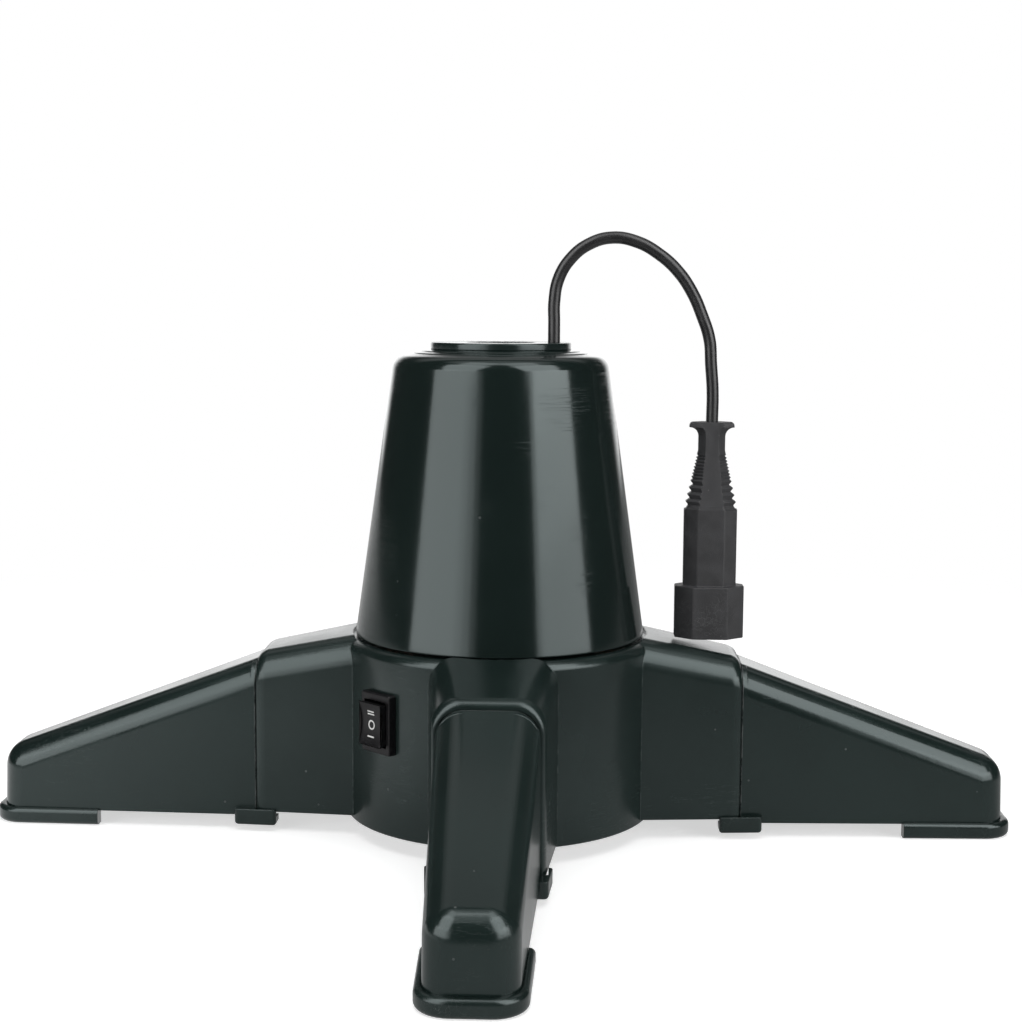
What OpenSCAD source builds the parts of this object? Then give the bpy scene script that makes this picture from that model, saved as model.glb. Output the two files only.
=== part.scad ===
// Rotating stand for a christmas tree.
// A hub drum stands on four plug-in legs. A gear motor in the drum turns a
// conical tower on a ball bearing. The tower holds the pole tube for the tree,
// and a slip ring feeds the lead for the lights, which turns with it.
// Millimetres. +Z is up, and the origin is on the floor under the tower's axis.
// The front leg points along -Y and the right leg along +X.

/* [Drum] */
// Outer radius of the drum
drum_r = 76.5; // [75:0.5:79]
// Height of the drum's lower edge above the floor
drum_bottom_z = 8; // [7.8:0.1:9]
// Height of the drum's deck above the floor
deck_z = 96; // [94:0.5:104]
// Thickness of the deck
deck_t = 3; // [2.4:0.1:4]
// Wall of the drum and of its sockets
hub_wall = 2.6; // [2.3:0.1:3]
// Radius of the drum's rounded upper rim
rim_round = 4.5; // [3:0.5:6]

/* [Leg sockets] */
// Distance from the centre to a socket's mouth
socket_reach = 119; // [115:1:122]
// Half width of a socket where it meets the drum
socket_half_in = 29.5; // [28:0.5:31]
// Half width of a socket at its mouth
socket_half_out = 25.5; // [25:0.5:27]
// Height of a socket's top above the deck, at the drum
socket_rise = 0.5; // [0.3:0.1:1.2]
// Fall of a socket's top from the drum to its mouth
socket_fall = 8.5; // [7:0.5:11]
// Radius of a socket's long upper edges
socket_round = 12; // [9:0.5:14]
// Length of the rounding at a socket's mouth
mouth_round = 5; // [3:0.5:6]
// How far the rounding draws in a socket's sides
mouth_draw = 1.7; // [1:0.1:1.8]
// Height of a socket's lower edge above the drum's lower edge
socket_lift = 1.6; // [1:0.1:2]
// Thickness of a socket's floor
socket_floor = 2.5; // [2:0.1:3.5]
// Wall between the drum's surface and the bottom of a socket
socket_end_wall = 4.5; // [3.5:0.5:6]

/* [Legs] */
// Distance from the centre to a leg's end face
leg_reach = 249.5; // [230:0.5:280]
// Half width of a leg at its end
leg_half_end = 18.8; // [17:0.1:21]
// Height of a leg's top at its end
leg_top_end = 40; // [34:0.5:46]
// Height of a leg's lower edge above the floor
leg_bottom_z = 7; // [6.5:0.1:7.4]
// Radius of a leg's long upper edges and end corners
leg_round = 11; // [9:0.5:12]
// Wall of a leg
leg_wall = 2.6; // [2:0.1:3]
// Step from a socket's side in to a leg's side
seam_step = 2.2; // [2.1:0.05:2.4]
// Step from a socket's top down to a leg's top
seam_drop = 3.6; // [3.2:0.1:4.2]
// Open seam between a socket's mouth and a leg
seam_gap = 0.5; // [0.3:0.05:0.8]
// Thickness of the cross ribs inside a leg
leg_rib_t = 2; // [1.5:0.1:3]

/* [Foot shoes and seam clips] */
// Length of a foot shoe along the leg
shoe_len = 50; // [40:0.5:60]
// How far a shoe stands proud of the leg's sides
shoe_proud = 2.8; // [2:0.1:4]
// How far a shoe stands proud of the leg's end
shoe_toe = 4; // [2:0.1:5]
// Height of a shoe's rim above the leg's lower edge
shoe_lip = 1; // [0.6:0.1:2]
// Height of the plug of a shoe inside the leg
shoe_plug_h = 5; // [3:0.5:8]
// Depth of the grooves under a shoe
shoe_groove_d = 1.2; // [0.8:0.1:2]
// Length of a seam clip along the leg
clip_len = 21; // [16:0.5:24]
// How far a seam clip stands out from the leg's side, at its inner end
clip_proud = 5.5; // [5.2:0.1:7]
// How much less it stands out at its outer end
clip_taper = 1.8; // [0:0.1:2]
// Height of a seam clip's lower face above the floor
clip_bottom_z = 3; // [2:0.1:4]
// Height of a seam clip's upper edge above the floor
clip_top_z = 11; // [10:0.1:14]

/* [Tower] */
// Running gap between the deck and the tower's lower edge
tower_gap = 1.3; // [1:0.1:1.5]
// Step from the drum's radius in to the tower's lower radius
tower_inset = 4.8; // [3.5:0.1:5]
// Gap between the tower and the inner ends of the sockets
tower_side_gap = 1.5; // [1.2:0.1:2]
// Height of the tower from its lower edge to its shoulder
tower_h = 137; // [128:1:150]
// Radius of the tower's top, measured where side and top would meet
tower_top_r = 52.5; // [50:0.5:56]
// Radius of the tower's shoulder
tower_round = 6.5; // [5:0.5:9]
// Wall of the tower's shell
shell_wall = 2.8; // [2.2:0.1:3.2]
// Depth of the ribs inside the shell
shell_rib_d = 6; // [4:0.5:8]
// Thickness of the ribs inside the shell
shell_rib_t = 2; // [1.5:0.1:3]
// Radius of the raised step on the tower's top
step_r = 42.5; // [38:0.5:44]
// Height of the raised step
step_h = 1.7; // [1.2:0.1:2.5]

/* [Collar] */
// Radius of the collar
collar_r = 34.5; // [34:0.1:36]
// Height of the collar
collar_h = 5; // [4.6:0.1:6]
// Bevel of the collar's edge
collar_bevel = 0.8; // [0.4:0.1:1.2]
// Number of teeth in the pole hole
spline_n = 14; // [10:1:20]
// Length of the teeth
spline_len = 10; // [8:0.5:11]
// Radius of a tooth's round tip
spline_tip_r = 0.9; // [0.7:0.05:1.2]
// Length of the skirt that holds the pole tube
skirt_len = 13; // [12:0.5:16]
// Wall of the skirt
skirt_wall = 2.4; // [1.8:0.1:2.5]
// Radius of the small blind hole
pip_r = 1.6; // [1:0.1:2]
// Depth of the small blind hole
pip_d = 2; // [1:0.1:3]
// Distance of the small blind hole from the centre
pip_at = 29.5; // [28:0.5:31]

/* [Pole tube] */
// Radius of the tree's pole
pole_r = 15.9; // [15.4:0.1:16]
// Clearance round the pole
pole_gap = 0.3; // [0.2:0.05:0.4]
// Wall of the pole tube
tube_wall = 3.3; // [3:0.1:3.4]
// Thickness of the floor that the pole stands on
tube_floor = 3; // [2:0.5:5]
// Length of tube below the drive gear
tube_below_gear = 10; // [6:0.5:12]
// Radius of the tube's flange
flange_r = 39; // [38.5:0.1:40]
// Thickness of the tube's flange
flange_t = 3; // [2.5:0.1:4]
// Radius of the lower spigot
spigot_r = 8; // [6:0.5:10]
// Length of the guide bush
bush_len = 15; // [10:0.5:18]
// Wall of the guide bush
bush_wall = 2.5; // [1.5:0.1:3]

/* [Ball bearing] */
// Radius of a ball
ball_r = 3; // [2.8:0.05:3.2]
// Number of balls
ball_n = 12; // [8:1:16]
// Radius of the circle of balls
ball_at = 27; // [26.8:0.1:27.2]
// Half width of a race
race_half_w = 4.5; // [4:0.1:4.6]
// Thickness of a race
race_t = 2.6; // [2.4:0.1:3]
// Open height between the races
race_gap = 3.8; // [3.6:0.1:4.2]
// Thickness of the ball cage
cage_t = 1.8; // [1.4:0.1:2.2]

/* [Gears and motor] */
// Module of the gear teeth
gear_m = 1.25; // [1.2:0.01:1.27]
// Teeth on the drive gear
gear_n = 60; // [57:1:61]
// Teeth on the motor pinion
pinion_n = 14; // [12:1:15]
// Width of the gears
gear_w = 8; // [5:0.5:10]
// Play between meshed teeth
gear_play = 0.2; // [0.1:0.05:0.3]
// Distance from the deck's underside down to the drive gear
gear_drop = 25; // [20:0.5:27]
// Gap between the motor and the drum's wall
motor_gap = 2; // [1:0.1:4]
// Height of the motor's can
motor_h = 22; // [16:0.5:24]
// Distance from the motor's plate up to the gears
motor_drop = 16.5; // [15:0.5:18]
// Direction of the motor from the centre
motor_a = 135; // [125:1:145]
// Radius of the motor's shaft
shaft_r = 3; // [2.5:0.1:4]

/* [Slip ring] */
// Thickness of the slip ring's disc
disc_t = 3; // [2:0.1:4]
// Place of the contact rings between the tube's flange and the disc's edge
contact_place = 0.34; // [0.3:0.01:0.5]
// Width of a contact ring
contact_w = 4; // [3:0.1:5]
// Distance from one contact ring to the next
contact_pitch = 9; // [8:0.5:10]
// Thickness of a contact ring
contact_t = 1; // [0.5:0.1:1.5]
// Height of the contact holder
holder_h = 4.5; // [3:0.1:6]
// Thickness of a contact leaf
leaf_t = 0.4; // [0.3:0.05:0.6]

/* [Switch] */
// Direction of the switch from the centre
switch_a = 225; // [220:1:230]
// Height of the switch's centre above the floor
switch_z = 62.4; // [45:0.1:65]
// Width of the switch's frame
frame_w = 21; // [20.6:0.1:24]
// Height of the switch's frame
frame_h = 29; // [27:0.1:30]
// How far the frame's face stands in front of the drum
frame_proud = 3.3; // [2.6:0.1:4]
// Half width of the rocker
rocker_half_w = 7.8; // [7:0.1:8.2]
// Half height of the rocker
rocker_half_h = 10.4; // [10:0.1:11.2]
// How far the rocker's ends stand in front of the frame
rocker_proud = 3.7; // [3:0.1:4.5]
// How far the rocker's middle lies behind its ends
rocker_dish = 1.6; // [1:0.1:2.2]

/* [Lead and connector] */
// Radius of the lead
lead_r = 3; // [2.5:0.1:3.2]
// Distance of the lead from the tower's axis
lead_at = 26; // [25.8:0.1:26.4]
// Length of the connector's mouth block
mouth_len = 26; // [20:0.5:27]
// Width of the connector's mouth block
mouth_w = 34; // [30:0.5:34]
// Thickness of the connector's mouth block
mouth_d = 21; // [19:0.5:24]
// Length of the connector's body
body_len = 38; // [30:0.5:38]
// Width of the connector's body
body_w = 26; // [24:0.5:28]
// Thickness of the connector's body
body_d = 16; // [14:0.5:18]
// Length of the connector's ribbed grip
grip_len = 29; // [27:0.5:29]
// Width of the connector's neck
neck_w = 13; // [11:0.5:15]
// Thickness of the connector's neck
neck_d = 11; // [9:0.5:13]
// Length of the connector's neck
neck_len = 10; // [8:0.5:11]
// Width of the flared end
flare_w = 22; // [18:0.5:26]
// Thickness of the flared end
flare_t = 4; // [3:0.1:5]

/* [Inlet gland] */
// Direction of the gland from the centre
gland_a = 45; // [40:1:50]
// Height of the gland above the floor
gland_z = 26; // [22:0.5:40]
// Radius of the gland's bore
gland_bore_r = 3.6; // [3:0.1:4]
// Radius of the gland's flange
gland_flange_r = 8; // [7:0.5:10]
// How far the gland stands out of the drum
gland_out = 6; // [4:0.5:10]

/* [Hidden] */
$fn = 96;

// Clearances and small fixings
cut = 1;              // how far a cutting shape runs past the face that it cuts
seat = 0.05;          // round piece in its seat
run_fit = 0.06;       // shaft in its bush
tongue_gap = 0.4;     // leg tongue in its socket
tongue_drop = 1;      // from a leg's top down to its tongue's top, at the seam
rest_gap = 0.3;       // faces that rest on each other across a joint
hull_fn = 28;         // facets of a round part inside a hull
slice = 0.5;          // thickness of a section inside a hull
screw_r = 1.5;        // shank of the screws
head_r = 2.8;         // head of the screws
head_h = 2;
screw_bite = 10;      // length of shank in a boss
screw_hole = 11;      // depth of a boss's hole
clear_hole_r = 1.8;   // hole that a screw passes through
boss_r = 4.5;
centre_drop = 0.6;    // how far a centring ring stops short of the far face of its race

// Heights, from the drum up
cover_t = 3;
cover_top_z = drum_bottom_z + cover_t;
deck_low_z = deck_z - deck_t;
tower_base_z = deck_z + tower_gap;
tower_top_z = tower_base_z + tower_h;
collar_z = tower_top_z + step_h;
collar_top_z = collar_z + collar_h;
gear_top_z = deck_low_z - gear_drop;
gear_z = gear_top_z - gear_w;
motor_plate_t = 1.5;
motor_top_z = gear_z - motor_drop;
motor_plate_z = motor_top_z - motor_plate_t;
motor_can_z = motor_plate_z - motor_h;

// Bearing and slip ring
race_top_z = deck_z + race_t;
ball_z = race_top_z + race_gap / 2;
upper_race_z = race_top_z + race_gap;
flange_z = upper_race_z + race_t;
disc_z = flange_z + flange_t;
disc_top_z = disc_z + disc_t;
groove_r = ball_r + 0.15;
cage_side_gap = 0.9;  // from the cage's edge to the edge of a race
contact_z = disc_z - contact_t;
holder_a = -45;       // direction of the contact holder
holder_w = 16;
holder_rim = 2;       // how far the holder reaches past the contact rings
leaf_w = 2.5;

// Tower and tube
tower_base_r = drum_r - tower_inset;
taper = (tower_base_r - tower_top_r) / tower_h;
taper_a = atan(taper);
function cone_r(z, inset) = tower_base_r - (z - tower_base_z) * taper - inset / cos(taper_a);
tube_in_r = pole_r + pole_gap;
tube_out_r = tube_in_r + tube_wall;
tube_top_z = collar_top_z - spline_len - rest_gap;
tube_low_z = gear_z - tube_below_gear;
skirt_r = tube_out_r + seat + skirt_wall;
race_in_r = ball_at - race_half_w;
race_out_r = ball_at + race_half_w;
deck_hole_r = tube_out_r + 1;
tube_rim = 3.5;       // rim of the tube above the drive gear
tube_rim_h = 2.5;
key_w = 3;
key_root = 2;         // depth of a key's root in the tube's wall
key_out = 2;          // how far a key stands out of the tube
clip_t = 1.4;         // clip that keeps the drive gear up
clip_slot_d = 0.8;
clip_slot_w = 1.5;
spigot_gap = 1.5;     // from the spigot's end to the bottom cover
collar_screw_at = 29.5;
disc_screw_at = race_out_r + 4;
disc_screw_n = 3;
disc_screw_a = 60;
disc_r = cone_r(disc_z, shell_wall) - 1.5;
contact_span = contact_pitch + contact_w;
contact_r = flange_r + contact_place * (disc_r - flange_r - contact_span);
contact_end_r = contact_r + contact_span;
bush_r = spigot_r + run_fit + bush_wall;

// Collar
collar_screw_n = 3;
collar_screw_a = 60;
collar_skin = 1.3;    // plastic left above a collar screw's hole
collar_tip_gap = 0.2; // from a collar screw's tip to the end of its hole
lead_hole_gap = 1.5;  // clearance round the lead in the shell's top
pip_a = -83;
splines_drop = 0.4;   // from the collar's top down to the teeth
tip_bite = 0.1;       // how far a tooth's round reaches into the bore's wall
clamp_w = 14;
clamp_l = 10;
clamp_h = 6;

// Sockets and legs
socket_root = 14.5;   // how far a socket's form reaches into the drum
function socket_half(x) = socket_half_in
    - (socket_half_in - socket_half_out) * (x - drum_r) / (socket_reach - drum_r);
function socket_top(x) = deck_z + socket_rise
    - socket_fall * (x - drum_r) / (socket_reach - drum_r);
socket_low_z = drum_bottom_z + socket_lift;
leg_top_seam = socket_top(socket_reach) - seam_drop;
cavity_half = socket_half_out - hub_wall;
cavity_top_z = leg_top_seam - tongue_drop + tongue_gap;
cavity_low_z = socket_low_z + socket_floor;
cavity_x = drum_r + socket_end_wall;
tongue_x = cavity_x + 1;
leg_x = socket_reach + seam_gap;
leg_half_seam = socket_half_out - seam_step;
function leg_half(x) = leg_half_seam
    - (leg_half_seam - leg_half_end) * (x - leg_x) / (leg_reach - leg_round - leg_x);
shoe_x = leg_reach - shoe_len;
clip_under = 3.5;     // how far a seam clip reaches under the leg's side wall
FRONT_A = -90;
RIGHT_A = 0;
REAR_A = 90;
LEFT_A = 180;

// Gears
gear_at = gear_m * (gear_n + pinion_n) / 2;
pressure_a = 20;
gear_addendum = 0.8;  // of the drive gear, in modules
motor_seam = 0.6;     // how far the can's rolled seam stands proud
motor_r = drum_r - hub_wall - motor_gap - gear_at - motor_seam;
ear_at = motor_r + 4; // from the shaft to the hole in an ear
pinion_boss = 4;      // length of the boss under the pinion
shaft_in = 6;         // length of shaft inside the motor

// Cover screws stand in the four leg directions, inside the drum
cover_r = drum_r - hub_wall - rest_gap;
cover_screw_at = cover_r - boss_r - 5;
cover_screw_n = 4;
cover_rib_n = 8;
cover_rib_t = 2;
cover_rib_h = 3;
bush_wall_out = 3;    // wall of the cover's seat for the guide bush

// Switch: its frame of reference lies on the drum's surface
switch_body_w = 20;
switch_body_h = 26;
switch_body_d = 18;
pocket_gap = 0.35;
pocket_end_gap = 0.5;
pocket_d = 7;         // depth of the rocker's pocket behind the pivot
pivot_drop = 2;       // from the frame's face back to the pivot
pivot_x = frame_proud - pivot_drop;
pivot_r = 1.5;
pivot_end = 1.3;      // length of a pivot's stub
frame_bevel = 0.8;
rocker_back = 4;      // how far the rocker reaches behind its pivot
rocker_slope = 2;
terminal_l = 8;
terminal_w = 6.4;
terminal_t = 0.8;
terminal_pitch = 8;

// The lead's route in the plane of the axis and the connector: distance out, height.
// It leaves the collar straight up, bends over the shoulder and hangs down
// beside the tower, so that the connector's mouth comes down over a socket.
ROUTE = [
    [26, 241], [26, 251], [26, 261], [28, 272], [34, 282], [43, 289], [54, 292],
    [66, 290], [77, 284], [86, 276], [93, 266], [98, 255], [102, 243], [103, 231],
    [104, 218], [104, 202.6]
];
route_end = ROUTE[len(ROUTE) - 1];
connector_len = mouth_len + body_len + grip_len + neck_len + flare_t;

// Slots and contacts for a two-blade plug
blade_pitch = 12.7;
blade_w = 1.8;
blade_l = 7;
blade_depth = 20;
contact_wall = 0.8;
mouth_wall = 5;

// Gland
gland_barrel_r = gland_bore_r + 2.4;
gland_tip_r = gland_bore_r + 1.4;
gland_in = 4;         // how far the gland reaches inside the drum's wall
gland_flange_t = 2.5;
gland_step = 2;       // length of straight barrel outside the drum

// ---------------------------------------------------------------- helpers

module ring(r_in, r_out, z0, z1) {
    translate([0, 0, z0]) difference() {
        cylinder(r = r_out, h = z1 - z0);
        translate([0, 0, -cut]) cylinder(r = r_in, h = z1 - z0 + 2 * cut);
    }
}

module rod(r, z0, z1) {
    translate([0, 0, z0]) cylinder(r = r, h = z1 - z0);
}

// A screw with its head below, standing up from head_z
module screw(head_z, len) {
    rod(head_r, head_z - head_h, head_z);
    rod(screw_r, head_z - head_h / 2, head_z + len);
}

// Copies at equal turns about the axis, at a distance from it
module round_about(n, at, start) {
    for (k = [0 : n - 1]) rotate(start + 360 * k / n) translate([at, 0, 0]) children();
}

function polar(r, a) = [r * cos(a), r * sin(a)];

// Points of a round corner about [x, y], from angle a0 to a1
function corner(x, y, r, a0, a1) = [
    for (k = [0 : 8]) [x, y] + polar(r, a0 + (a1 - a0) * k / 8)
];

// ---------------------------------------------------------------- drum

// Section of a socket's outer form: two round edges above, two square ones below
module socket_section(x, half, top, r) {
    for (side = [-1, 1]) {
        translate([x - slice, side * (half - r), top - r]) rotate([0, 90, 0])
            cylinder(r = r, h = slice, $fn = hull_fn);
        translate([x - slice, side * (half - 0.5) - 0.5, socket_low_z]) cube([slice, 1, 1]);
    }
}

// The outer form of a socket; its mouth is rounded over to the leg's outside
module socket_block() {
    root_x = drum_r - socket_root;
    mouth_fall = mouth_draw + seam_drop - seam_step;
    hull() {
        socket_section(root_x, socket_half(root_x), socket_top(root_x), socket_round);
        for (a = [0 : 18 : 90]) {
            x = socket_reach - mouth_round * (1 - sin(a));
            draw = mouth_draw * (1 - cos(a));
            socket_section(x, socket_half(x) - draw,
                socket_top(x) - mouth_fall * (1 - cos(a)), socket_round - draw);
        }
    }
}

// Cross-section of a socket's inside and of a leg's tongue, as [across, up]
module arch_section(half, low, top, r) {
    translate([-half, low]) square([2 * half, top - r - low]);
    translate([-(half - r), low]) square([2 * (half - r), top - low]);
    for (side = [-1, 1]) translate([side * (half - r), top - r]) circle(r = r);
}

// The section drawn out along +X, from x0 to x1
module arch_bar(x0, x1, half, low, top, r) {
    translate([x0, 0, 0]) rotate([90, 0, 90]) linear_extrude(x1 - x0)
        arch_section(half, low, top, r);
}

module socket_cavity() {
    arch_bar(cavity_x, socket_reach + cut, cavity_half, cavity_low_z, cavity_top_z,
        leg_round + tongue_gap);
}

module drum_form() {
    rotate_extrude() {
        translate([0, drum_bottom_z]) square([drum_r, deck_z - rim_round - drum_bottom_z]);
        translate([0, drum_bottom_z]) square([drum_r - rim_round, deck_z - drum_bottom_z]);
        translate([drum_r - rim_round, deck_z - rim_round]) circle(r = rim_round);
    }
}

module at_switch() {
    rotate(switch_a) translate([drum_r, 0, switch_z]) children();
}

module at_gland() {
    rotate(gland_a) translate([drum_r, 0, gland_z]) rotate([0, 90, 0]) children();
}

module at_motor() {
    rotate(motor_a) translate([gear_at, 0, 0]) children();
}

module at_ears() {
    at_motor() for (side = [-1, 1]) translate([0, side * ear_at, 0]) children();
}

module hub_housing() {
    color("#33393a") difference() {
        union() {
            difference() {
                union() {
                    drum_form();
                    for (k = [0 : 3]) rotate(90 * k) socket_block();
                }
                rod(tower_base_r + tower_side_gap, deck_z, socket_top(drum_r - socket_root) + cut);
                rod(drum_r - hub_wall, drum_bottom_z - cut, deck_low_z);
            }
            // long bosses for the cover's screws, and two posts for the motor
            round_about(cover_screw_n, cover_screw_at, 0) rod(boss_r, cover_top_z, deck_low_z + cut);
            at_ears() rod(boss_r, motor_top_z, deck_low_z + cut);
            // raised ring that centres the lower race
            rod(race_in_r - seat, deck_low_z + cut, race_top_z - centre_drop);
        }
        rod(deck_hole_r, deck_low_z - cut, race_top_z + cut);
        for (k = [0 : 3]) rotate(90 * k) socket_cavity();
        round_about(cover_screw_n, cover_screw_at, 0)
            rod(screw_r + seat, cover_top_z - cut, cover_top_z + screw_hole);
        at_ears() rod(screw_r + seat, motor_top_z - cut, motor_top_z + screw_hole);
        at_switch() translate([-switch_body_d, -switch_body_w / 2 - seat, -switch_body_h / 2 - seat])
            cube([switch_body_d + frame_proud, switch_body_w + 2 * seat, switch_body_h + 2 * seat]);
        at_gland() rod(gland_barrel_r + seat, -hub_wall - gland_in, gland_out);
    }
}

module bottom_cover() {
    rib_end_r = cover_screw_at - boss_r - 4;
    color("#2a2e2f") difference() {
        union() {
            rod(cover_r, drum_bottom_z, cover_top_z);
            rod(bush_r + seat + bush_wall_out, cover_top_z - cut, cover_top_z + bush_len);
            ring(rib_end_r - cover_rib_t, rib_end_r, cover_top_z - cut, cover_top_z + cover_rib_h);
            round_about(cover_rib_n, bush_r + 2, 180 / cover_rib_n)
                translate([0, -cover_rib_t / 2, cover_top_z - cut])
                cube([rib_end_r - bush_r - 3, cover_rib_t, cover_rib_h + cut]);
        }
        rod(bush_r + seat, cover_top_z, cover_top_z + bush_len + cut);
        round_about(cover_screw_n, cover_screw_at, 0)
            rod(clear_hole_r, drum_bottom_z - cut, cover_top_z + cut);
    }
}

module cover_screws() {
    color("silver") round_about(cover_screw_n, cover_screw_at, 0)
        screw(drum_bottom_z, cover_t + screw_bite);
}

module guide_bush() {
    color("#b08d57") ring(spigot_r + run_fit, bush_r, cover_top_z, cover_top_z + bush_len);
}

// ---------------------------------------------------------------- switch

// A box centred on the switch's axis, from depth x0 to x1
module switch_box(x0, x1, w, h) {
    translate([x0, -w / 2, -h / 2]) cube([x1 - x0, w, h]);
}

module pivot_pin(r, end) {
    translate([pivot_x, 0, 0]) rotate([90, 0, 0])
        cylinder(r = r, h = 2 * (rocker_half_w + end), center = true);
}

module switch_frame() {
    color("#202123") at_switch() difference() {
        union() {
            hull() {
                switch_box(-2, frame_proud - frame_bevel, frame_w, frame_h);
                switch_box(-2, frame_proud, frame_w - 2 * frame_bevel, frame_h - 2 * frame_bevel);
            }
            switch_box(-switch_body_d, 0, switch_body_w, switch_body_h);
        }
        // the back of the frame's rim follows the drum
        difference() {
            translate([-drum_r, 0, 0]) rod(drum_r + seat, -frame_h, frame_h);
            switch_box(-switch_body_d - cut, frame_proud, switch_body_w, switch_body_h);
        }
        switch_box(pivot_x - pocket_d, frame_proud + cut, 2 * (rocker_half_w + pocket_gap),
            2 * (rocker_half_h + pocket_end_gap));
        pivot_pin(pivot_r + run_fit, pivot_end + rest_gap);
    }
}

module switch_rocker() {
    end_x = rocker_proud + pivot_drop;
    tip_h = rocker_half_h - 0.5;
    back_h = rocker_half_h - rocker_slope;
    dish_r = (rocker_half_h * rocker_half_h + rocker_dish * rocker_dish) / (2 * rocker_dish);
    color("#262628") at_switch() {
        translate([pivot_x, rocker_half_w, 0]) rotate([90, 0, 0])
            linear_extrude(2 * rocker_half_w) difference() {
                polygon([
                    [-rocker_back, -back_h], [pivot_r, -rocker_half_h], [end_x, -tip_h],
                    [end_x, tip_h], [pivot_r, rocker_half_h], [-rocker_back, back_h]
                ]);
                translate([end_x - rocker_dish + dish_r, 0]) circle(r = dish_r, $fn = 180);
            }
        pivot_pin(pivot_r, pivot_end);
    }
}

module switch_terminals() {
    color("goldenrod") at_switch() for (k = [-1, 0, 1]) translate([0, 0, terminal_pitch * k])
        switch_box(-switch_body_d - terminal_l, -switch_body_d, terminal_w, terminal_t);
}

// ---------------------------------------------------------------- inlet gland

module inlet_gland() {
    color("#1c1c1e") difference() {
        union() {
            difference() {
                at_gland() rod(gland_flange_r, -hub_wall, gland_flange_t);
                rod(drum_r + seat, gland_z - 2 * gland_flange_r, gland_z + 2 * gland_flange_r);
            }
            at_gland() rod(gland_barrel_r, -hub_wall - gland_in, gland_step);
            at_gland() translate([0, 0, gland_step])
                cylinder(r1 = gland_barrel_r, r2 = gland_tip_r, h = gland_out - gland_step);
        }
        at_gland() rod(gland_bore_r, -hub_wall - gland_in - cut, gland_out + cut);
    }
}

// ---------------------------------------------------------------- gears and motor

function inv(a) = tan(a) * 180 / PI - a;

// Half angle of a tooth at radius r
function tooth_half(n, r) =
    let (pitch_r = gear_m * n / 2, base_r = pitch_r * cos(pressure_a))
    90 / n - gear_play / 4 / pitch_r * 180 / PI + inv(pressure_a) - inv(acos(min(1, base_r / r)));

// Outline of a gear with its tooth 0 along +X
function gear_points(n, addendum, steps) =
    let (
        pitch_r = gear_m * n / 2,
        base_r = pitch_r * cos(pressure_a),
        root_r = pitch_r - 1.25 * gear_m,
        tip_r = pitch_r + addendum * gear_m,
        low_r = max(root_r, base_r),
        rise = [for (k = [0 : steps]) low_r + (tip_r - low_r) * k / steps],
        fall = [for (k = [0 : steps]) rise[steps - k]]
    )
    [for (t = [0 : n - 1]) each concat(
        [polar(root_r - 0.01, 360 * t / n - tooth_half(n, low_r))],
        [for (r = rise) polar(r, 360 * t / n - tooth_half(n, r))],
        [for (r = fall) polar(r, 360 * t / n + tooth_half(n, r))],
        [polar(root_r - 0.01, 360 * t / n + tooth_half(n, low_r))]
    )];

module key_bars(gap) {
    round_about(2, tube_out_r - key_root, 0) translate([0, -key_w / 2 - gap, gear_z - gap])
        cube([key_root + key_out + gap, key_w + 2 * gap, gear_w + 2 * gap]);
}

// The gap between two of its teeth faces the pinion
module drive_gear() {
    web_hole_n = 6;
    web_hole_r = 3.5;
    web_hole_at = (tube_out_r + gear_m * gear_n / 2) / 2 + 0.7;
    color("#e8e4d8") difference() {
        translate([0, 0, gear_z]) rotate(motor_a + 180 / gear_n) linear_extrude(gear_w)
            polygon(gear_points(gear_n, gear_addendum, 3));
        rod(tube_out_r + seat, gear_z - cut, gear_top_z + cut);
        key_bars(seat);
        round_about(web_hole_n, web_hole_at, 15) rod(web_hole_r, gear_z - cut, gear_top_z + cut);
    }
}

module motor_pinion() {
    color("#d8d0b8") at_motor() {
        translate([0, 0, gear_z]) rotate(180) linear_extrude(gear_w)
            polygon(gear_points(pinion_n, 1, 4));
        rod(shaft_r + 2, gear_z - pinion_boss, gear_z);
        rod(shaft_r, motor_plate_z - shaft_in, gear_top_z + 2);
    }
}

module gear_motor() {
    nose_top_z = gear_z - pinion_boss - 1;
    color("#b9bcbe") at_motor() difference() {
        union() {
            rod(motor_r, motor_can_z, motor_plate_z);
            rod(motor_r + motor_seam, motor_plate_z - 2 * motor_seam, motor_top_z);
            hull() for (side = [-1, 1]) translate([0, side * ear_at, motor_plate_z])
                cylinder(r = boss_r, h = motor_plate_t, $fn = hull_fn);
            rod(shaft_r + 5, motor_top_z, motor_top_z + 3);
            rod(shaft_r + 2.5, motor_top_z, nose_top_z);
            rod(motor_r - 8, motor_can_z - 1, motor_can_z);
        }
        rod(shaft_r + run_fit, motor_plate_z - shaft_in - rest_gap, nose_top_z + cut);
        for (side = [-1, 1]) translate([0, side * ear_at, 0])
            rod(clear_hole_r, motor_plate_z - cut, motor_top_z + cut);
    }
}

module motor_screws() {
    color("silver") at_ears() screw(motor_plate_z, motor_plate_t + screw_bite);
}

// ---------------------------------------------------------------- bearing

module groove() {
    translate([0, 0, ball_z]) rotate_extrude() translate([ball_at, 0]) circle(r = groove_r);
}

module lower_race() {
    color("#8f9396") difference() {
        ring(race_in_r, race_out_r, deck_z, race_top_z);
        groove();
    }
}

module upper_race() {
    color("#8f9396") difference() {
        ring(race_in_r, race_out_r, upper_race_z, flange_z);
        groove();
    }
}

module bearing_balls() {
    color("#d5d8da") round_about(ball_n, ball_at, 0) translate([0, 0, ball_z]) sphere(r = ball_r);
}

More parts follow.
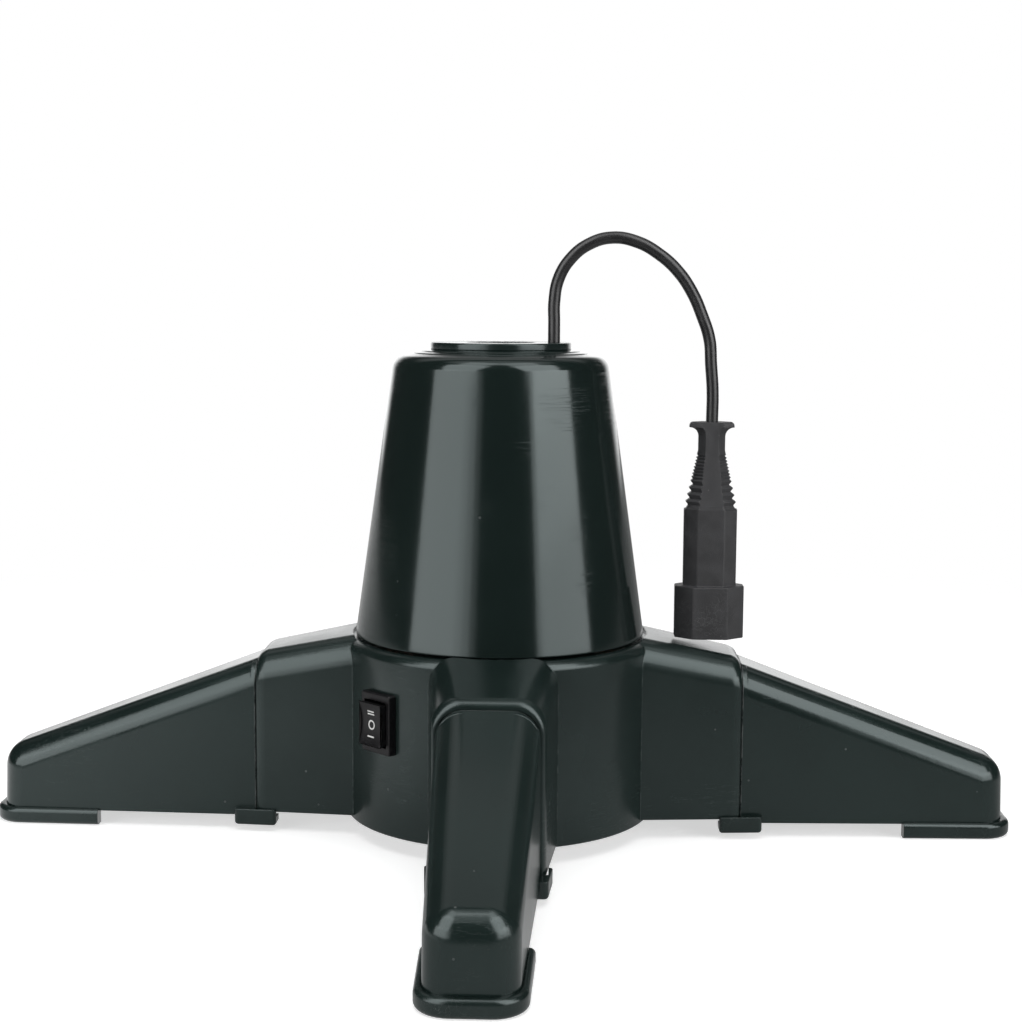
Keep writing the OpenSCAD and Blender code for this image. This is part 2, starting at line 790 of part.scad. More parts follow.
module ball_cage() {
    color("#c9b27c") difference() {
        ring(race_in_r + cage_side_gap, race_out_r - cage_side_gap,
            ball_z - cage_t / 2, ball_z + cage_t / 2);
        round_about(ball_n, ball_at, 0) rod(groove_r, ball_z - cage_t, ball_z + cage_t);
    }
}

// ---------------------------------------------------------------- slip ring

module slip_ring_disc() {
    color("#7a5a2e") difference() {
        rod(disc_r, disc_z, disc_top_z);
        rod(tube_out_r + seat, disc_z - cut, disc_top_z + cut);
        round_about(disc_screw_n, disc_screw_at, disc_screw_a)
            rod(screw_r + seat, disc_z - cut, disc_top_z + cut);
    }
}

module contact_rings() {
    color("#c8743a") for (r = [contact_r, contact_r + contact_pitch])
        ring(r, r + contact_w, contact_z, disc_z);
}

module disc_screws() {
    color("silver") round_about(disc_screw_n, disc_screw_at, disc_screw_a)
        screw(flange_z, flange_t + disc_t - 0.5);
}

module contact_holder() {
    color("#3d3f40") rotate(holder_a) translate([contact_r - holder_rim, -holder_w / 2, deck_z])
        cube([contact_end_r - contact_r + 2 * holder_rim, holder_w, holder_h]);
}

// Each leaf lies flat on the holder, rises to its ring and turns down at the tip
module contact_leaves() {
    foot_z = deck_z + holder_h;
    tip_z = contact_z - 0.1;
    color("#d19a4e") rotate(holder_a) for (r = [contact_r, contact_r + contact_pitch])
        translate([r + (contact_w - leaf_w) / 2, 0, 0])
            rotate([90, 0, 90]) linear_extrude(leaf_w) polygon([
                [-7, foot_z], [2, foot_z], [13, tip_z - leaf_t], [16, tip_z - 2 * leaf_t - 0.4],
                [16, tip_z - leaf_t - 0.4], [13, tip_z], [1.8, foot_z + leaf_t], [-7, foot_z + leaf_t]
            ]);
}

// ---------------------------------------------------------------- pole tube

module pole_tube() {
    color("#5b5f61") difference() {
        union() {
            rod(tube_out_r, tube_low_z, tube_top_z);
            rod(tube_out_r + tube_rim, gear_top_z, gear_top_z + tube_rim_h);
            rod(flange_r, flange_z, disc_z);
            rod(race_in_r - seat, upper_race_z + centre_drop, flange_z + cut);
            rod(spigot_r, cover_top_z + spigot_gap, tube_low_z + cut);
            key_bars(0);
        }
        rod(tube_in_r, tube_low_z + tube_floor, tube_top_z + cut);
        round_about(disc_screw_n, disc_screw_at, disc_screw_a)
            rod(clear_hole_r, flange_z - cut, disc_z + cut);
        ring(tube_out_r - clip_slot_d, tube_out_r + cut, gear_z - clip_slot_w, gear_z);
    }
}

module gear_clip() {
    open_a = 60;
    clip_w = 3.2;
    color("#9a9da0") rotate(open_a / 2) translate([0, 0, gear_z - (clip_slot_w + clip_t) / 2])
        rotate_extrude(angle = 360 - open_a)
        translate([tube_out_r - clip_slot_d + seat, 0]) square([clip_w, clip_t]);
}

// ---------------------------------------------------------------- tower

// Half section of the tower's outside, drawn in by inset
module tower_profile(inset, low_z) {
    r = tower_round - inset;
    z = tower_top_z - tower_round;
    polygon(concat(
        [[0, low_z], [cone_r(low_z, inset), low_z]],
        corner(cone_r(z, tower_round), z, r, taper_a, 90),
        [[0, tower_top_z - inset]]
    ));
}

// Ribs that run up the inside of the shell and end in its top
module tower_ribs() {
    shell_rib_n = 6;
    bite = 1;
    low_z = disc_top_z + rest_gap;
    top_z = tower_top_z - shell_wall + bite;
    round_z = tower_top_z - tower_round;
    round_about(shell_rib_n, 0, 180 / shell_rib_n)
        translate([0, shell_rib_t / 2, 0]) rotate([90, 0, 0]) linear_extrude(shell_rib_t)
        polygon(concat(
            [[cone_r(low_z, shell_wall - bite), low_z]],
            corner(cone_r(round_z, tower_round), round_z, tower_round - shell_wall + bite, 0, 90),
            [for (z = [top_z, low_z]) [cone_r(z, shell_wall + shell_rib_d), z]]
        ));
}

module tower_shell() {
    plate_z = tower_top_z - shell_wall;
    color("#1f2b2a") {
        difference() {
            union() {
                rotate_extrude() tower_profile(0, tower_base_z);
                rod(step_r, tower_top_z - cut, collar_z);
            }
            rotate_extrude() tower_profile(shell_wall, tower_base_z - cut);
            rod(skirt_r + rest_gap, plate_z - cut, collar_z + cut);
            translate([lead_at, 0, 0]) rod(lead_r + lead_hole_gap, plate_z - cut, collar_z + cut);
            round_about(collar_screw_n, collar_screw_at, collar_screw_a)
                rod(clear_hole_r, plate_z - cut, collar_z + cut);
        }
        tower_ribs();
    }
}

module top_collar() {
    bore_r = tube_in_r + spline_tip_r + tip_bite;
    color("#2b3334") {
        difference() {
            union() {
                rotate_extrude() polygon([
                    [0, collar_z], [collar_r, collar_z], [collar_r, collar_top_z - collar_bevel],
                    [collar_r - collar_bevel, collar_top_z], [0, collar_top_z]
                ]);
                rod(skirt_r, collar_z - skirt_len, collar_z + cut);
            }
            rod(bore_r, collar_z - skirt_len - cut, collar_top_z + cut);
            rod(tube_out_r + seat, collar_z - skirt_len - cut, collar_top_z - spline_len);
            translate([lead_at, 0, 0]) rod(lead_r + rest_gap, collar_z - cut, collar_top_z + cut);
            round_about(collar_screw_n, collar_screw_at, collar_screw_a)
                rod(screw_r + seat, collar_z - cut, collar_top_z - collar_skin);
            rotate(pip_a) translate([pip_at, 0, 0]) rod(pip_r, collar_top_z - pip_d, collar_top_z + cut);
        }
        // round-tipped teeth in the pole hole
        round_about(spline_n, bore_r + tip_bite, 180 / spline_n)
            rod(spline_tip_r + tip_bite, collar_top_z - spline_len, collar_top_z - splines_drop);
    }
}

module collar_screws() {
    plate_z = tower_top_z - shell_wall;
    color("silver") round_about(collar_screw_n, collar_screw_at, collar_screw_a)
        screw(plate_z, collar_top_z - collar_skin - collar_tip_gap - plate_z);
}

// ---------------------------------------------------------------- lead and connector

module lead_clamp() {
    color("#3d3f40") difference() {
        translate([lead_at - clamp_l / 2, -clamp_w / 2, disc_top_z]) cube([clamp_l, clamp_w, clamp_h]);
        translate([lead_at, 0, 0]) rod(lead_r + seat, disc_top_z - cut, disc_top_z + clamp_h + cut);
    }
}

module inner_lead() {
    color("#2c2c2e") translate([lead_at, 0, 0]) rod(lead_r, disc_top_z, collar_top_z);
}

// A tube swept along the route: one ring of points for each point of the route
function heading(k) =
    k == 0 || k == len(ROUTE) - 1 ? [0, k == 0 ? 1 : -1]
    : (ROUTE[k + 1] - ROUTE[k - 1]) / norm(ROUTE[k + 1] - ROUTE[k - 1]);

module outlet_lead() {
    sides = 12;
    last = len(ROUTE) - 1;
    points = [
        for (k = [0 : last]) for (s = [0 : sides - 1])
            let (a = 360 * s / sides, h = heading(k), u = lead_r * cos(a))
            [ROUTE[k][0] + u * h[1], lead_r * sin(a), ROUTE[k][1] - u * h[0]]
    ];
    walls = [
        for (k = [0 : last - 1]) for (s = [0 : sides - 1])
            let (t = (s + 1) % sides, a = k * sides, b = a + sides)
            each [[a + s, b + s, b + t], [a + s, b + t, a + t]]
    ];
    ends = [[for (s = [0 : sides - 1]) s], [for (s = [sides - 1 : -1 : 0]) last * sides + s]];
    color("#2c2c2e") polyhedron(points = points, faces = concat(walls, ends), convexity = 4);
}

// Flat-sided section with long bevels on its narrow sides
module bevelled_section(w, d) {
    bevel_w = w / 4;
    bevel_d = d / 3;
    polygon([
        [-w / 2 + bevel_w, -d / 2], [w / 2 - bevel_w, -d / 2], [w / 2, -d / 2 + bevel_d],
        [w / 2, d / 2 - bevel_d], [w / 2 - bevel_w, d / 2], [-w / 2 + bevel_w, d / 2],
        [-w / 2, d / 2 - bevel_d], [-w / 2, -d / 2 + bevel_d]
    ]);
}

// Half width of the grip at a height above the body
function grip_half(h) = body_w / 2 - (body_w - neck_w) / 2 * h / grip_len;

// A vee across both narrow sides of the grip
module grip_vee(h, depth) {
    vee_out = 2;
    for (side = [-1, 1]) translate([side * grip_half(h), 0, h]) rotate([90, 0, 0])
        linear_extrude(2 * body_d, center = true)
            polygon([[-side * depth, 0], [side * vee_out, -depth - 1.2], [side * vee_out, depth + 1.2]]);
}

module connector_form() {
    body_top = mouth_len + body_len;
    grip_top = body_top + grip_len;
    neck_top = grip_top + neck_len;
    flare_top = neck_top + flare_t;
    neck_round = (flare_w - neck_w) / 2;
    coarse_pitch = 3.4;
    fine_pitch = 1.6;
    linear_extrude(mouth_len) bevelled_section(mouth_w, mouth_d);
    translate([0, 0, mouth_len - 1]) linear_extrude(body_len + 1) bevelled_section(body_w, body_d);
    difference() {
        hull() {
            translate([0, 0, body_top - 0.5]) linear_extrude(0.5) bevelled_section(body_w, body_d);
            translate([0, 0, grip_top]) linear_extrude(0.5) bevelled_section(neck_w, neck_d);
        }
        translate([0, 0, body_top]) {
            for (k = [0 : 3]) grip_vee(2 + coarse_pitch * k, 1.4);
            for (k = [0 : 7]) grip_vee(15 + fine_pitch * k, 0.6);
        }
    }
    // neck and flared end, drawn through the thickness
    translate([0, neck_d / 2, 0]) rotate([90, 0, 0]) linear_extrude(neck_d) polygon(concat(
        [[-neck_w / 2, grip_top - 0.5], [neck_w / 2, grip_top - 0.5]],
        corner(flare_w / 2, neck_top - 3, neck_round, 180, 90),
        corner(flare_w / 2 - 2, flare_top - 2, 2, 0, 90),
        corner(2 - flare_w / 2, flare_top - 2, 2, 90, 180),
        corner(-flare_w / 2, neck_top - 3, neck_round, 90, 0)
    ));
}

module at_connector() {
    translate([route_end[0], 0, route_end[1] - connector_len]) children();
}

module blade_slots(gap, z0, z1) {
    for (side = [-1, 1]) translate([side * blade_pitch / 2 - blade_w / 2 - gap, -blade_l / 2 - gap, z0])
        cube([blade_w + 2 * gap, blade_l + 2 * gap, z1 - z0]);
}

module outlet_connector() {
    color("#404042") at_connector() difference() {
        connector_form();
        blade_slots(0, -cut, mouth_wall + cut);
        blade_slots(contact_wall + seat, mouth_wall, blade_depth);
    }
}

module outlet_contacts() {
    color("goldenrod") at_connector() difference() {
        blade_slots(contact_wall, mouth_wall, blade_depth);
        blade_slots(0, mouth_wall - cut, blade_depth - 2);
    }
}

// ---------------------------------------------------------------- legs

// Solid form of a leg from the seam to its end, drawn in by inset
module leg_form(inset, low_z) {
    r = leg_round - inset;
    end_x = leg_reach - leg_round;
    end_y = leg_half_end - leg_round;
    end_z = leg_top_end - leg_round;
    hull() for (side = [-1, 1]) {
        translate([leg_x, side * (leg_half_seam - leg_round), leg_top_seam - leg_round])
            rotate([0, 90, 0]) cylinder(r = r, h = 0.5, $fn = hull_fn);
        translate([leg_x, side * (leg_half_seam - inset - 0.5) - 0.5, low_z]) cube([0.5, 1, 1]);
        translate([end_x, side * end_y, end_z]) sphere(r = r, $fn = hull_fn);
        translate([end_x, side * end_y, low_z]) cylinder(r = r, h = 1, $fn = hull_fn);
    }
}

// A hollow leg with two cross ribs, and the tongue that goes into the socket
module leg(turn) {
    leg_len = leg_reach - leg_x;
    tongue_half = cavity_half - tongue_gap;
    tongue_top = leg_top_seam - tongue_drop;
    tongue_low = cavity_low_z + rest_gap;
    root_x = leg_x + leg_wall;
    color("#3a4041") rotate(turn) {
        difference() {
            union() {
                leg_form(0, leg_bottom_z);
                arch_bar(tongue_x, root_x, tongue_half, tongue_low, tongue_top, leg_round);
            }
            difference() {
                leg_form(leg_wall, leg_bottom_z - cut);
                for (share = [0.32, 0.64])
                    translate([leg_x + share * leg_len, -leg_half_seam, leg_bottom_z + 6])
                    cube([leg_rib_t, 2 * leg_half_seam, leg_top_seam]);
            }
            arch_bar(tongue_x - cut, root_x + 1, tongue_half - leg_wall, leg_bottom_z - cut,
                tongue_top - leg_wall, leg_round - leg_wall);
        }
    }
}

// Plan of a leg's end from x0 outwards, grown by grow, with its end moved out by toe
function end_plan(x0, grow, toe = 0) =
    let (r = leg_round + grow, x = leg_reach - leg_round + toe, y = leg_half_end - leg_round)
    concat([[x0, -leg_half(x0) - grow]], corner(x, -y, r, -90, 0), corner(x, y, r, 0, 90),
        [[x0, leg_half(x0) + grow]]);

// The shoe: floor and rim outside the leg, two short arms, and a plug inside the leg
module foot_shoe(turn) {
    plug_gap = 0.1;
    groove_pitch = 11;
    groove_w = 3;
    groove_half = leg_half_end - 3;
    arm_len = 12;
    arm_w = 4;
    toe = shoe_toe - shoe_proud;
    color("#2e3434") rotate(turn) difference() {
        union() {
            linear_extrude(leg_bottom_z) polygon(end_plan(shoe_x, shoe_proud, toe));
            difference() {
                linear_extrude(leg_bottom_z + shoe_lip) polygon(end_plan(shoe_x, shoe_proud, toe));
                translate([0, 0, leg_bottom_z]) linear_extrude(shoe_lip + cut)
                    polygon(end_plan(shoe_x - cut, plug_gap));
            }
            linear_extrude(leg_bottom_z + shoe_plug_h)
                polygon(end_plan(shoe_x + 3, -leg_wall - plug_gap));
        }
        for (k = [0 : 2]) translate([shoe_x + arm_len + groove_pitch * (k + 0.5), -groove_half, -cut])
            cube([groove_w, 2 * groove_half, shoe_groove_d + cut]);
        // the inner end is open between two arms
        translate([shoe_x - cut, arm_w - leg_half(shoe_x), -cut])
            cube([arm_len + cut, 2 * leg_half(shoe_x) - 2 * arm_w, leg_bottom_z - 1 + cut]);
    }
}

// Plan of a seam clip: from low_y out to its slanting side, set back by edge
module clip_plan(x0, low_y, edge) {
    out_y = leg_half_seam + clip_proud;
    polygon([
        [x0 + edge, low_y], [x0 + clip_len - edge, low_y],
        [x0 + clip_len - edge, out_y - clip_taper - edge], [x0 + edge, out_y - edge]
    ]);
}

// Two pads across the seam: each grips the leg's lower edge and reaches past the socket
module seam_clips(turn) {
    lip_y = socket_half(leg_x - clip_len / 2) + rest_gap;
    low_y = leg_half_seam - clip_under;
    edge = 1.5;
    x0 = leg_x - clip_len / 2;
    color("#2e3434") rotate(turn) for (side = [0, 1]) mirror([0, side, 0]) {
        difference() {
            union() {
                hull() {
                    translate([0, 0, clip_bottom_z]) linear_extrude(slice) clip_plan(x0, low_y, edge);
                    translate([0, 0, leg_bottom_z - slice]) linear_extrude(slice)
                        clip_plan(x0, low_y, 0);
                }
                translate([0, 0, leg_bottom_z - slice]) linear_extrude(clip_top_z - leg_bottom_z + slice)
                    clip_plan(x0, leg_half(leg_x + clip_len / 2), 0);
            }
            // room for the socket's corner, and for the leg's side wall
            translate([x0 - cut, low_y - cut, leg_bottom_z])
                cube([clip_len / 2 + cut, lip_y - low_y + cut, clip_top_z]);
            difference() {
                translate([leg_x, low_y - cut, leg_bottom_z])
                    cube([clip_len, 2 * clip_len, clip_top_z]);
                translate([leg_x, 0, leg_bottom_z]) linear_extrude(clip_top_z) polygon([
                    [-cut, leg_half(leg_x) + seat], [clip_len, leg_half(leg_x + clip_len) + seat],
                    [clip_len, 2 * clip_len], [-cut, 2 * clip_len]
                ]);
            }
        }
    }
}

// ---------------------------------------------------------------- assembly

hub_housing();
bottom_cover();
cover_screws();
guide_bush();
switch_frame();
switch_rocker();
switch_terminals();
inlet_gland();
gear_motor();
motor_screws();
motor_pinion();
lower_race();
bearing_balls();
ball_cage();
upper_race();
contact_holder();
contact_leaves();
contact_rings();
slip_ring_disc();
disc_screws();
pole_tube();
drive_gear();
gear_clip();
tower_shell();
top_collar();
collar_screws();
lead_clamp();
inner_lead();
outlet_lead();
outlet_connector();
outlet_contacts();
leg(FRONT_A);  // leg_front
leg(RIGHT_A);  // leg_right
leg(REAR_A);  // leg_rear
leg(LEFT_A);  // leg_left
foot_shoe(FRONT_A);  // foot_shoe_front
foot_shoe(RIGHT_A);  // foot_shoe_right
foot_shoe(REAR_A);  // foot_shoe_rear
foot_shoe(LEFT_A);  // foot_shoe_left
seam_clips(FRONT_A);  // seam_clips_front
seam_clips(RIGHT_A);  // seam_clips_right
seam_clips(REAR_A);  // seam_clips_rear
seam_clips(LEFT_A);  // seam_clips_left
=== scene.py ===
# Rotating stand for a christmas tree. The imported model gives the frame, and this
# script dresses it piece by piece, from the lead and the tower down to the feet.
# Metres. +Z is up, the origin is on the floor under the tower's axis, the front leg
# points along -Y and the right leg along +X.

import math

import bmesh
import bpy
from mathutils import Matrix, Vector


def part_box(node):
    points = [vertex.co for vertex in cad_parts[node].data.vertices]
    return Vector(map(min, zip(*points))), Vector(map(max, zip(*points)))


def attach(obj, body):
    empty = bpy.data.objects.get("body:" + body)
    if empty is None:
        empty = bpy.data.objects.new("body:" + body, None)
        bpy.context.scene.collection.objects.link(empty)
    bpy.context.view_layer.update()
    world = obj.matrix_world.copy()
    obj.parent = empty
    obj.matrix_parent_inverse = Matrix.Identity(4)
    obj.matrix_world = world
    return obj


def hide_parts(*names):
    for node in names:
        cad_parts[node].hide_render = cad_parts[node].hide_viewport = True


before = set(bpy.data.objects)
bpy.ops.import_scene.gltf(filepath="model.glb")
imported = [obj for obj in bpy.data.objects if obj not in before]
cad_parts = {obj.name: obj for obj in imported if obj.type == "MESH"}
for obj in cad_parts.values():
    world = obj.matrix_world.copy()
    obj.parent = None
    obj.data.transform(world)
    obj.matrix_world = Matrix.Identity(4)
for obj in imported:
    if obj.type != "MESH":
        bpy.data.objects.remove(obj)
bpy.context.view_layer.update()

MM = 0.001
WHOLE_TURN = 2 * math.pi

# ---------------- camera
# The photograph's view: from just above the tower, nearly along the front leg. The
# upright side of the picture is the longer one.
PICTURE_H = 1024
MIDDLE_COLUMN_PX = 511.0
OPTICAL_COLUMN_PX = 500.24
FOCAL_PX = 1751.6
SENSOR_MM = 36.0
CAMERA_AZIMUTH = math.radians(2.35)
CAMERA_PITCH = math.radians(6.75)
CAMERA_ROLL = math.radians(0.28)
CAMERA_DISTANCE = 0.8648
CAMERA_HEIGHT = 0.25928

ahead = Vector((
    -math.sin(CAMERA_AZIMUTH) * math.cos(CAMERA_PITCH),
    math.cos(CAMERA_AZIMUTH) * math.cos(CAMERA_PITCH),
    -math.sin(CAMERA_PITCH),
))
level = Vector((math.cos(CAMERA_AZIMUTH), math.sin(CAMERA_AZIMUTH), 0))
upright = level.cross(ahead)
side = math.cos(CAMERA_ROLL) * level + math.sin(CAMERA_ROLL) * upright
crown = math.cos(CAMERA_ROLL) * upright - math.sin(CAMERA_ROLL) * level

camera_data = bpy.data.cameras.new("camera")
camera_data.sensor_fit = "VERTICAL"
camera_data.sensor_height = SENSOR_MM
camera_data.lens = FOCAL_PX * SENSOR_MM / PICTURE_H
camera_data.shift_x = (MIDDLE_COLUMN_PX - OPTICAL_COLUMN_PX) / PICTURE_H
camera_data.clip_start = 0.01
camera = bpy.data.objects.new("camera", camera_data)
bpy.context.scene.collection.objects.link(camera)
turned = Matrix((side, crown, -ahead)).transposed().to_4x4()
camera.matrix_world = Matrix.Translation((
    CAMERA_DISTANCE * math.sin(CAMERA_AZIMUTH),
    -CAMERA_DISTANCE * math.cos(CAMERA_AZIMUTH),
    CAMERA_HEIGHT,
)) @ turned
bpy.context.scene.camera = camera

# ---------------- outlet connector
# The moulded end of the lead: a mouth block for a two-blade plug, a narrower body,
# a grip with four deep and eight fine vees, and a neck that flares round the lead.
# Black moulding with a fine spark texture. It hangs with its mouth down.
LEAD_R = 3
CONNECTOR_LOW, CONNECTOR_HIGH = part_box("outlet_connector")
CONNECTOR_AT = (CONNECTOR_LOW + CONNECTOR_HIGH) / 2
MOUTH_LEN = 26
MOUTH = (34, 21)
BODY_END = 64
BODY = (26, 16)
GRIP_END = 93
NECK = (13, 11)
NECK_END = 100
FLARE_W = 22
FLARE_RISE = 4.4
FLARE_LIP = (3.4, 2)
CONNECTOR_LEN = 107
GRIP_SHOULDER = 0.7
# height over the body, depth, and run up to the crest, of the deep and the fine vees
VEES = [(2 + 3.4 * k, 1.4, 1.7) for k in range(4)] + [(15 + 1.6 * k, 0.6, 0.8) for k in range(8)]
VEE_FLAT = 0.25
CREST_FLAT = 0.2
BODY_EDGE = 0.55
BLADE_PITCH = 12.7
BLADE = (1.8, 7)
BLADE_MOUTH = 5
BLADE_POCKET = 20.2
POCKET_GAP = 0.9
# how far a tool stands out of the piece it cuts, a reach past any side of it, and the
# gap that keeps faces apart
CUT = 1
WIDE = 40
FIT = 0.05


def clear_selection():
    if bpy.context.mode != "OBJECT":
        bpy.ops.object.mode_set(mode="OBJECT")
    bpy.ops.object.select_all(action="DESELECT")


def choose(piece):
    clear_selection()
    piece.select_set(True)
    bpy.context.view_layer.objects.active = piece


def pick(kind, test):
    """Selects the vertices, edges or faces, of the mesh in edit mode, that pass the test."""
    bpy.ops.mesh.select_mode(type=kind)
    bpy.ops.mesh.select_all(action="DESELECT")
    mesh = bmesh.from_edit_mesh(bpy.context.object.data)
    mesh.normal_update()
    for part in {"VERT": mesh.verts, "EDGE": mesh.edges, "FACE": mesh.faces}[kind]:
        part.select_set(bool(test(part)))
    mesh.select_flush_mode()
    bmesh.update_edit_mesh(bpy.context.object.data)


def middle(edge):
    return (edge.verts[0].co + edge.verts[1].co) / 2 / MM


def run(edge):
    return (edge.verts[1].co - edge.verts[0].co).normalized()


def runs(edge, axis):
    """Whether an edge lies along an axis, or near it."""
    return abs(getattr(run(edge), axis)) > 0.9


def pick_all():
    bpy.ops.mesh.select_all(action="SELECT")


def edit(piece):
    choose(piece)
    bpy.ops.object.mode_set(mode="EDIT")


def take_up(name):
    """Names the form just added, fixes its place in its mesh and opens it for shaping."""
    bpy.ops.object.transform_apply(location=True, rotation=True, scale=True)
    bpy.context.object.name = name
    bpy.ops.object.mode_set(mode="EDIT")
    return bpy.context.object


def block(name, low, high):
    """A box between two corners in millimetres, open for shaping."""
    clear_selection()
    low, high = Vector(low) * MM, Vector(high) * MM
    bpy.ops.mesh.primitive_cube_add(size=1, location=(low + high) / 2, scale=high - low)
    return take_up(name)


def bevel(offset, segments, test):
    """Bevels the edges that pass the test, by millimetres."""
    pick("EDGE", test)
    bpy.ops.mesh.bevel(offset=offset * MM, segments=segments)


def extrude(x=0, z=0):
    bpy.ops.mesh.extrude_region_move(TRANSFORM_OT_translate={"value": (x * MM, 0, z * MM)})


def slide(x=0, y=0, z=0):
    bpy.ops.transform.translate(value=(x * MM, y * MM, z * MM))


def resize(value, centre=(0, 0, 0)):
    """Scales what is chosen about a point in metres."""
    bpy.ops.transform.resize(value=value, center_override=centre)


def turn(piece, angle, axis="Z"):
    clear_selection()
    piece.data.transform(Matrix.Rotation(angle, 4, axis))


def shift(piece, x, y, z):
    """Moves a piece's mesh, by millimetres."""
    clear_selection()
    piece.data.transform(Matrix.Translation((x * MM, y * MM, z * MM)))


def join(piece, other):
    choose(piece)
    other.select_set(True)
    bpy.ops.object.join()


def carve(piece, tool, how="DIFFERENCE"):
    """Cuts the tool from the piece, or joins it on, and takes the tool away."""
    clear_selection()
    bpy.context.view_layer.objects.active = piece
    cut = piece.modifiers.new("carve", "BOOLEAN")
    cut.operation = how
    cut.solver = "EXACT"
    cut.object = tool
    bpy.ops.object.modifier_apply(modifier=cut.name)
    bpy.data.objects.remove(tool)


def smooth(piece, angle=25, crease=None):
    """Turns the normals out, shades the curves smooth and keeps the flats flat."""
    edit(piece)
    pick_all()
    bpy.ops.mesh.remove_doubles(threshold=0.000002)
    bpy.ops.mesh.normals_make_consistent(inside=False)
    bpy.ops.object.mode_set(mode="OBJECT")
    bpy.ops.object.shade_smooth_by_angle(angle=math.radians(angle))
    if crease:
        edit(piece)
        pick("EDGE", crease)
        bpy.ops.mesh.mark_sharp()
        bpy.ops.object.mode_set(mode="OBJECT")
    weighted = piece.modifiers.new("weighted", "WEIGHTED_NORMAL")
    weighted.keep_sharp = True
    bpy.ops.object.modifier_apply(modifier=weighted.name)


def grow(length, size_from, size_to):
    """Extrudes the chosen face or ring upwards and brings it to the next size."""
    extrude(z=length)
    mesh = bmesh.from_edit_mesh(bpy.context.object.data)
    ring = [vertex.co for vertex in mesh.verts if vertex.select]
    centre = sum(ring, Vector()) / len(ring)
    resize((size_to[0] / size_from[0], size_to[1] / size_from[1], 1), centre)


def between(start, end, share):
    return start + (end - start) * share


def grip_size(height, notch=0.0):
    share = (height - BODY_END) / (GRIP_END - BODY_END)
    return between(BODY[0], NECK[0], share) - 2 * notch, between(BODY[1], NECK[1], share)


# the section has flat broad sides and long bevels down to its narrow sides
corner_x, corner_y = MOUTH[0] / 4, MOUTH[1] / 6
clear_selection()
bpy.ops.mesh.primitive_circle_add(
    vertices=8, radius=MOUTH[0] / 2 * MM, fill_type="NGON", rotation=(0, 0, math.pi / 8),
    location=(CONNECTOR_AT.x, 0, CONNECTOR_LOW.z),
)
bpy.ops.object.transform_apply(location=True, rotation=True, scale=True)
connector = bpy.context.object
connector.name = "outlet_connector_moulding"
for vertex in connector.data.vertices:
    broad = abs(vertex.co.x - CONNECTOR_AT.x) < abs(vertex.co.y)
    vertex.co.x = CONNECTOR_AT.x + math.copysign(
        corner_x * MM if broad else MOUTH[0] / 2 * MM, vertex.co.x - CONNECTOR_AT.x
    )
    vertex.co.y = math.copysign((MOUTH[1] / 2 if broad else corner_y) * MM, vertex.co.y)
bpy.ops.object.mode_set(mode="EDIT")
pick_all()
steps = [(MOUTH_LEN, MOUTH), (MOUTH_LEN, BODY), (BODY_END, BODY)]
steps += [(BODY_END, grip_size(BODY_END, GRIP_SHOULDER))]
for vee, notch, reach in VEES:
    root = BODY_END + vee
    crest = root + reach
    steps += [(root - VEE_FLAT, grip_size(root, notch)), (root + VEE_FLAT, grip_size(root, notch))]
    steps += [(crest - CREST_FLAT, grip_size(crest)), (crest + CREST_FLAT, grip_size(crest))]
steps += [(GRIP_END, NECK), (NECK_END, NECK)]
for k in range(1, 6):
    a = math.pi / 2 * k / 5
    width = between(NECK[0], FLARE_W, 1 - math.cos(a))
    steps += [(NECK_END + FLARE_RISE * math.sin(a), (width, NECK[1]))]
for k in range(1, 5):
    a = math.pi / 2 * k / 4
    width = FLARE_W - FLARE_LIP[0] * (1 - math.cos(a))
    steps += [(CONNECTOR_LEN - FLARE_LIP[1] * (1 - math.sin(a)), (width, NECK[1]))]
last_height, last_size = 0, MOUTH
for height, size in steps:
    grow(height - last_height, last_size, size)
    last_height, last_size = height, size
z = CONNECTOR_LOW.z / MM
bevel(BODY_EDGE, 3, lambda e: e.calc_face_angle(0) > 0.4 and middle(e).z < z + BODY_END + 1)
for sign in (-1, 1):
    x = CONNECTOR_AT.x / MM + sign * BLADE_PITCH / 2
    for gap, z0, z1 in ((0, -CUT, BLADE_MOUTH + 0.1), (POCKET_GAP, BLADE_MOUTH, BLADE_POCKET)):
        half = (BLADE[0] / 2 + gap, BLADE[1] / 2 + gap)
        slot = block("slot", (x - half[0], -half[1], z + z0), (x + half[0], half[1], z + z1))
        carve(connector, slot)
smooth(connector)


# An effect is a group of nodes: values and coordinates go in, masks, heights and
# tones come out. Below are the scales of its noises, and the spans that make blotches,
# patches, specks and broken lines of them.
VECTOR_SOCKETS = ("Vector", "Stretch", "Normal")
BLOTCH = (0.3, 0.7)
PATCH_SCALE, PATCH = 26, (0.52, 0.66)
SPECK_SIZE, SPECK_CHANCE = (0.06, 0.13), (0.95, 0.97)
EDGE_TURN = (0.97, 0.8)
EDGE_BREAK_SCALE, EDGE_BREAK = 160, (0.46, 0.62)
SEAM_BREAK_SCALE, SEAM_BREAK = 120, (0.4, 0.58, 0.15, 1)
# a rubbed or dusty place keeps a share of the colour, gains some white and is rougher
PALE_SHARE, PALE_WHITE, PALE_MOST, PALE_ROUGH = 0.6, 0.16, 0.9, 0.5
# how pale the painted highlight along the legs' seam makes the plastic
SEAM_HIGHLIGHT_PALE = 0.5
SCRATCH_DEPTH = 0.5


def link(value, socket):
    socket.id_data.links.new(value, socket)


def add_node(tree, kind, sockets=None, **settings):
    """A shader node. A socket takes a plain value or another node's output."""
    node = tree.nodes.new("ShaderNode" + kind)
    for key, value in settings.items():
        setattr(node, key, value)
    for key, value in (sockets or {}).items():
        if isinstance(value, bpy.types.NodeSocket):
            link(value, node.inputs[key])
        else:
            node.inputs[key].default_value = value
    return node


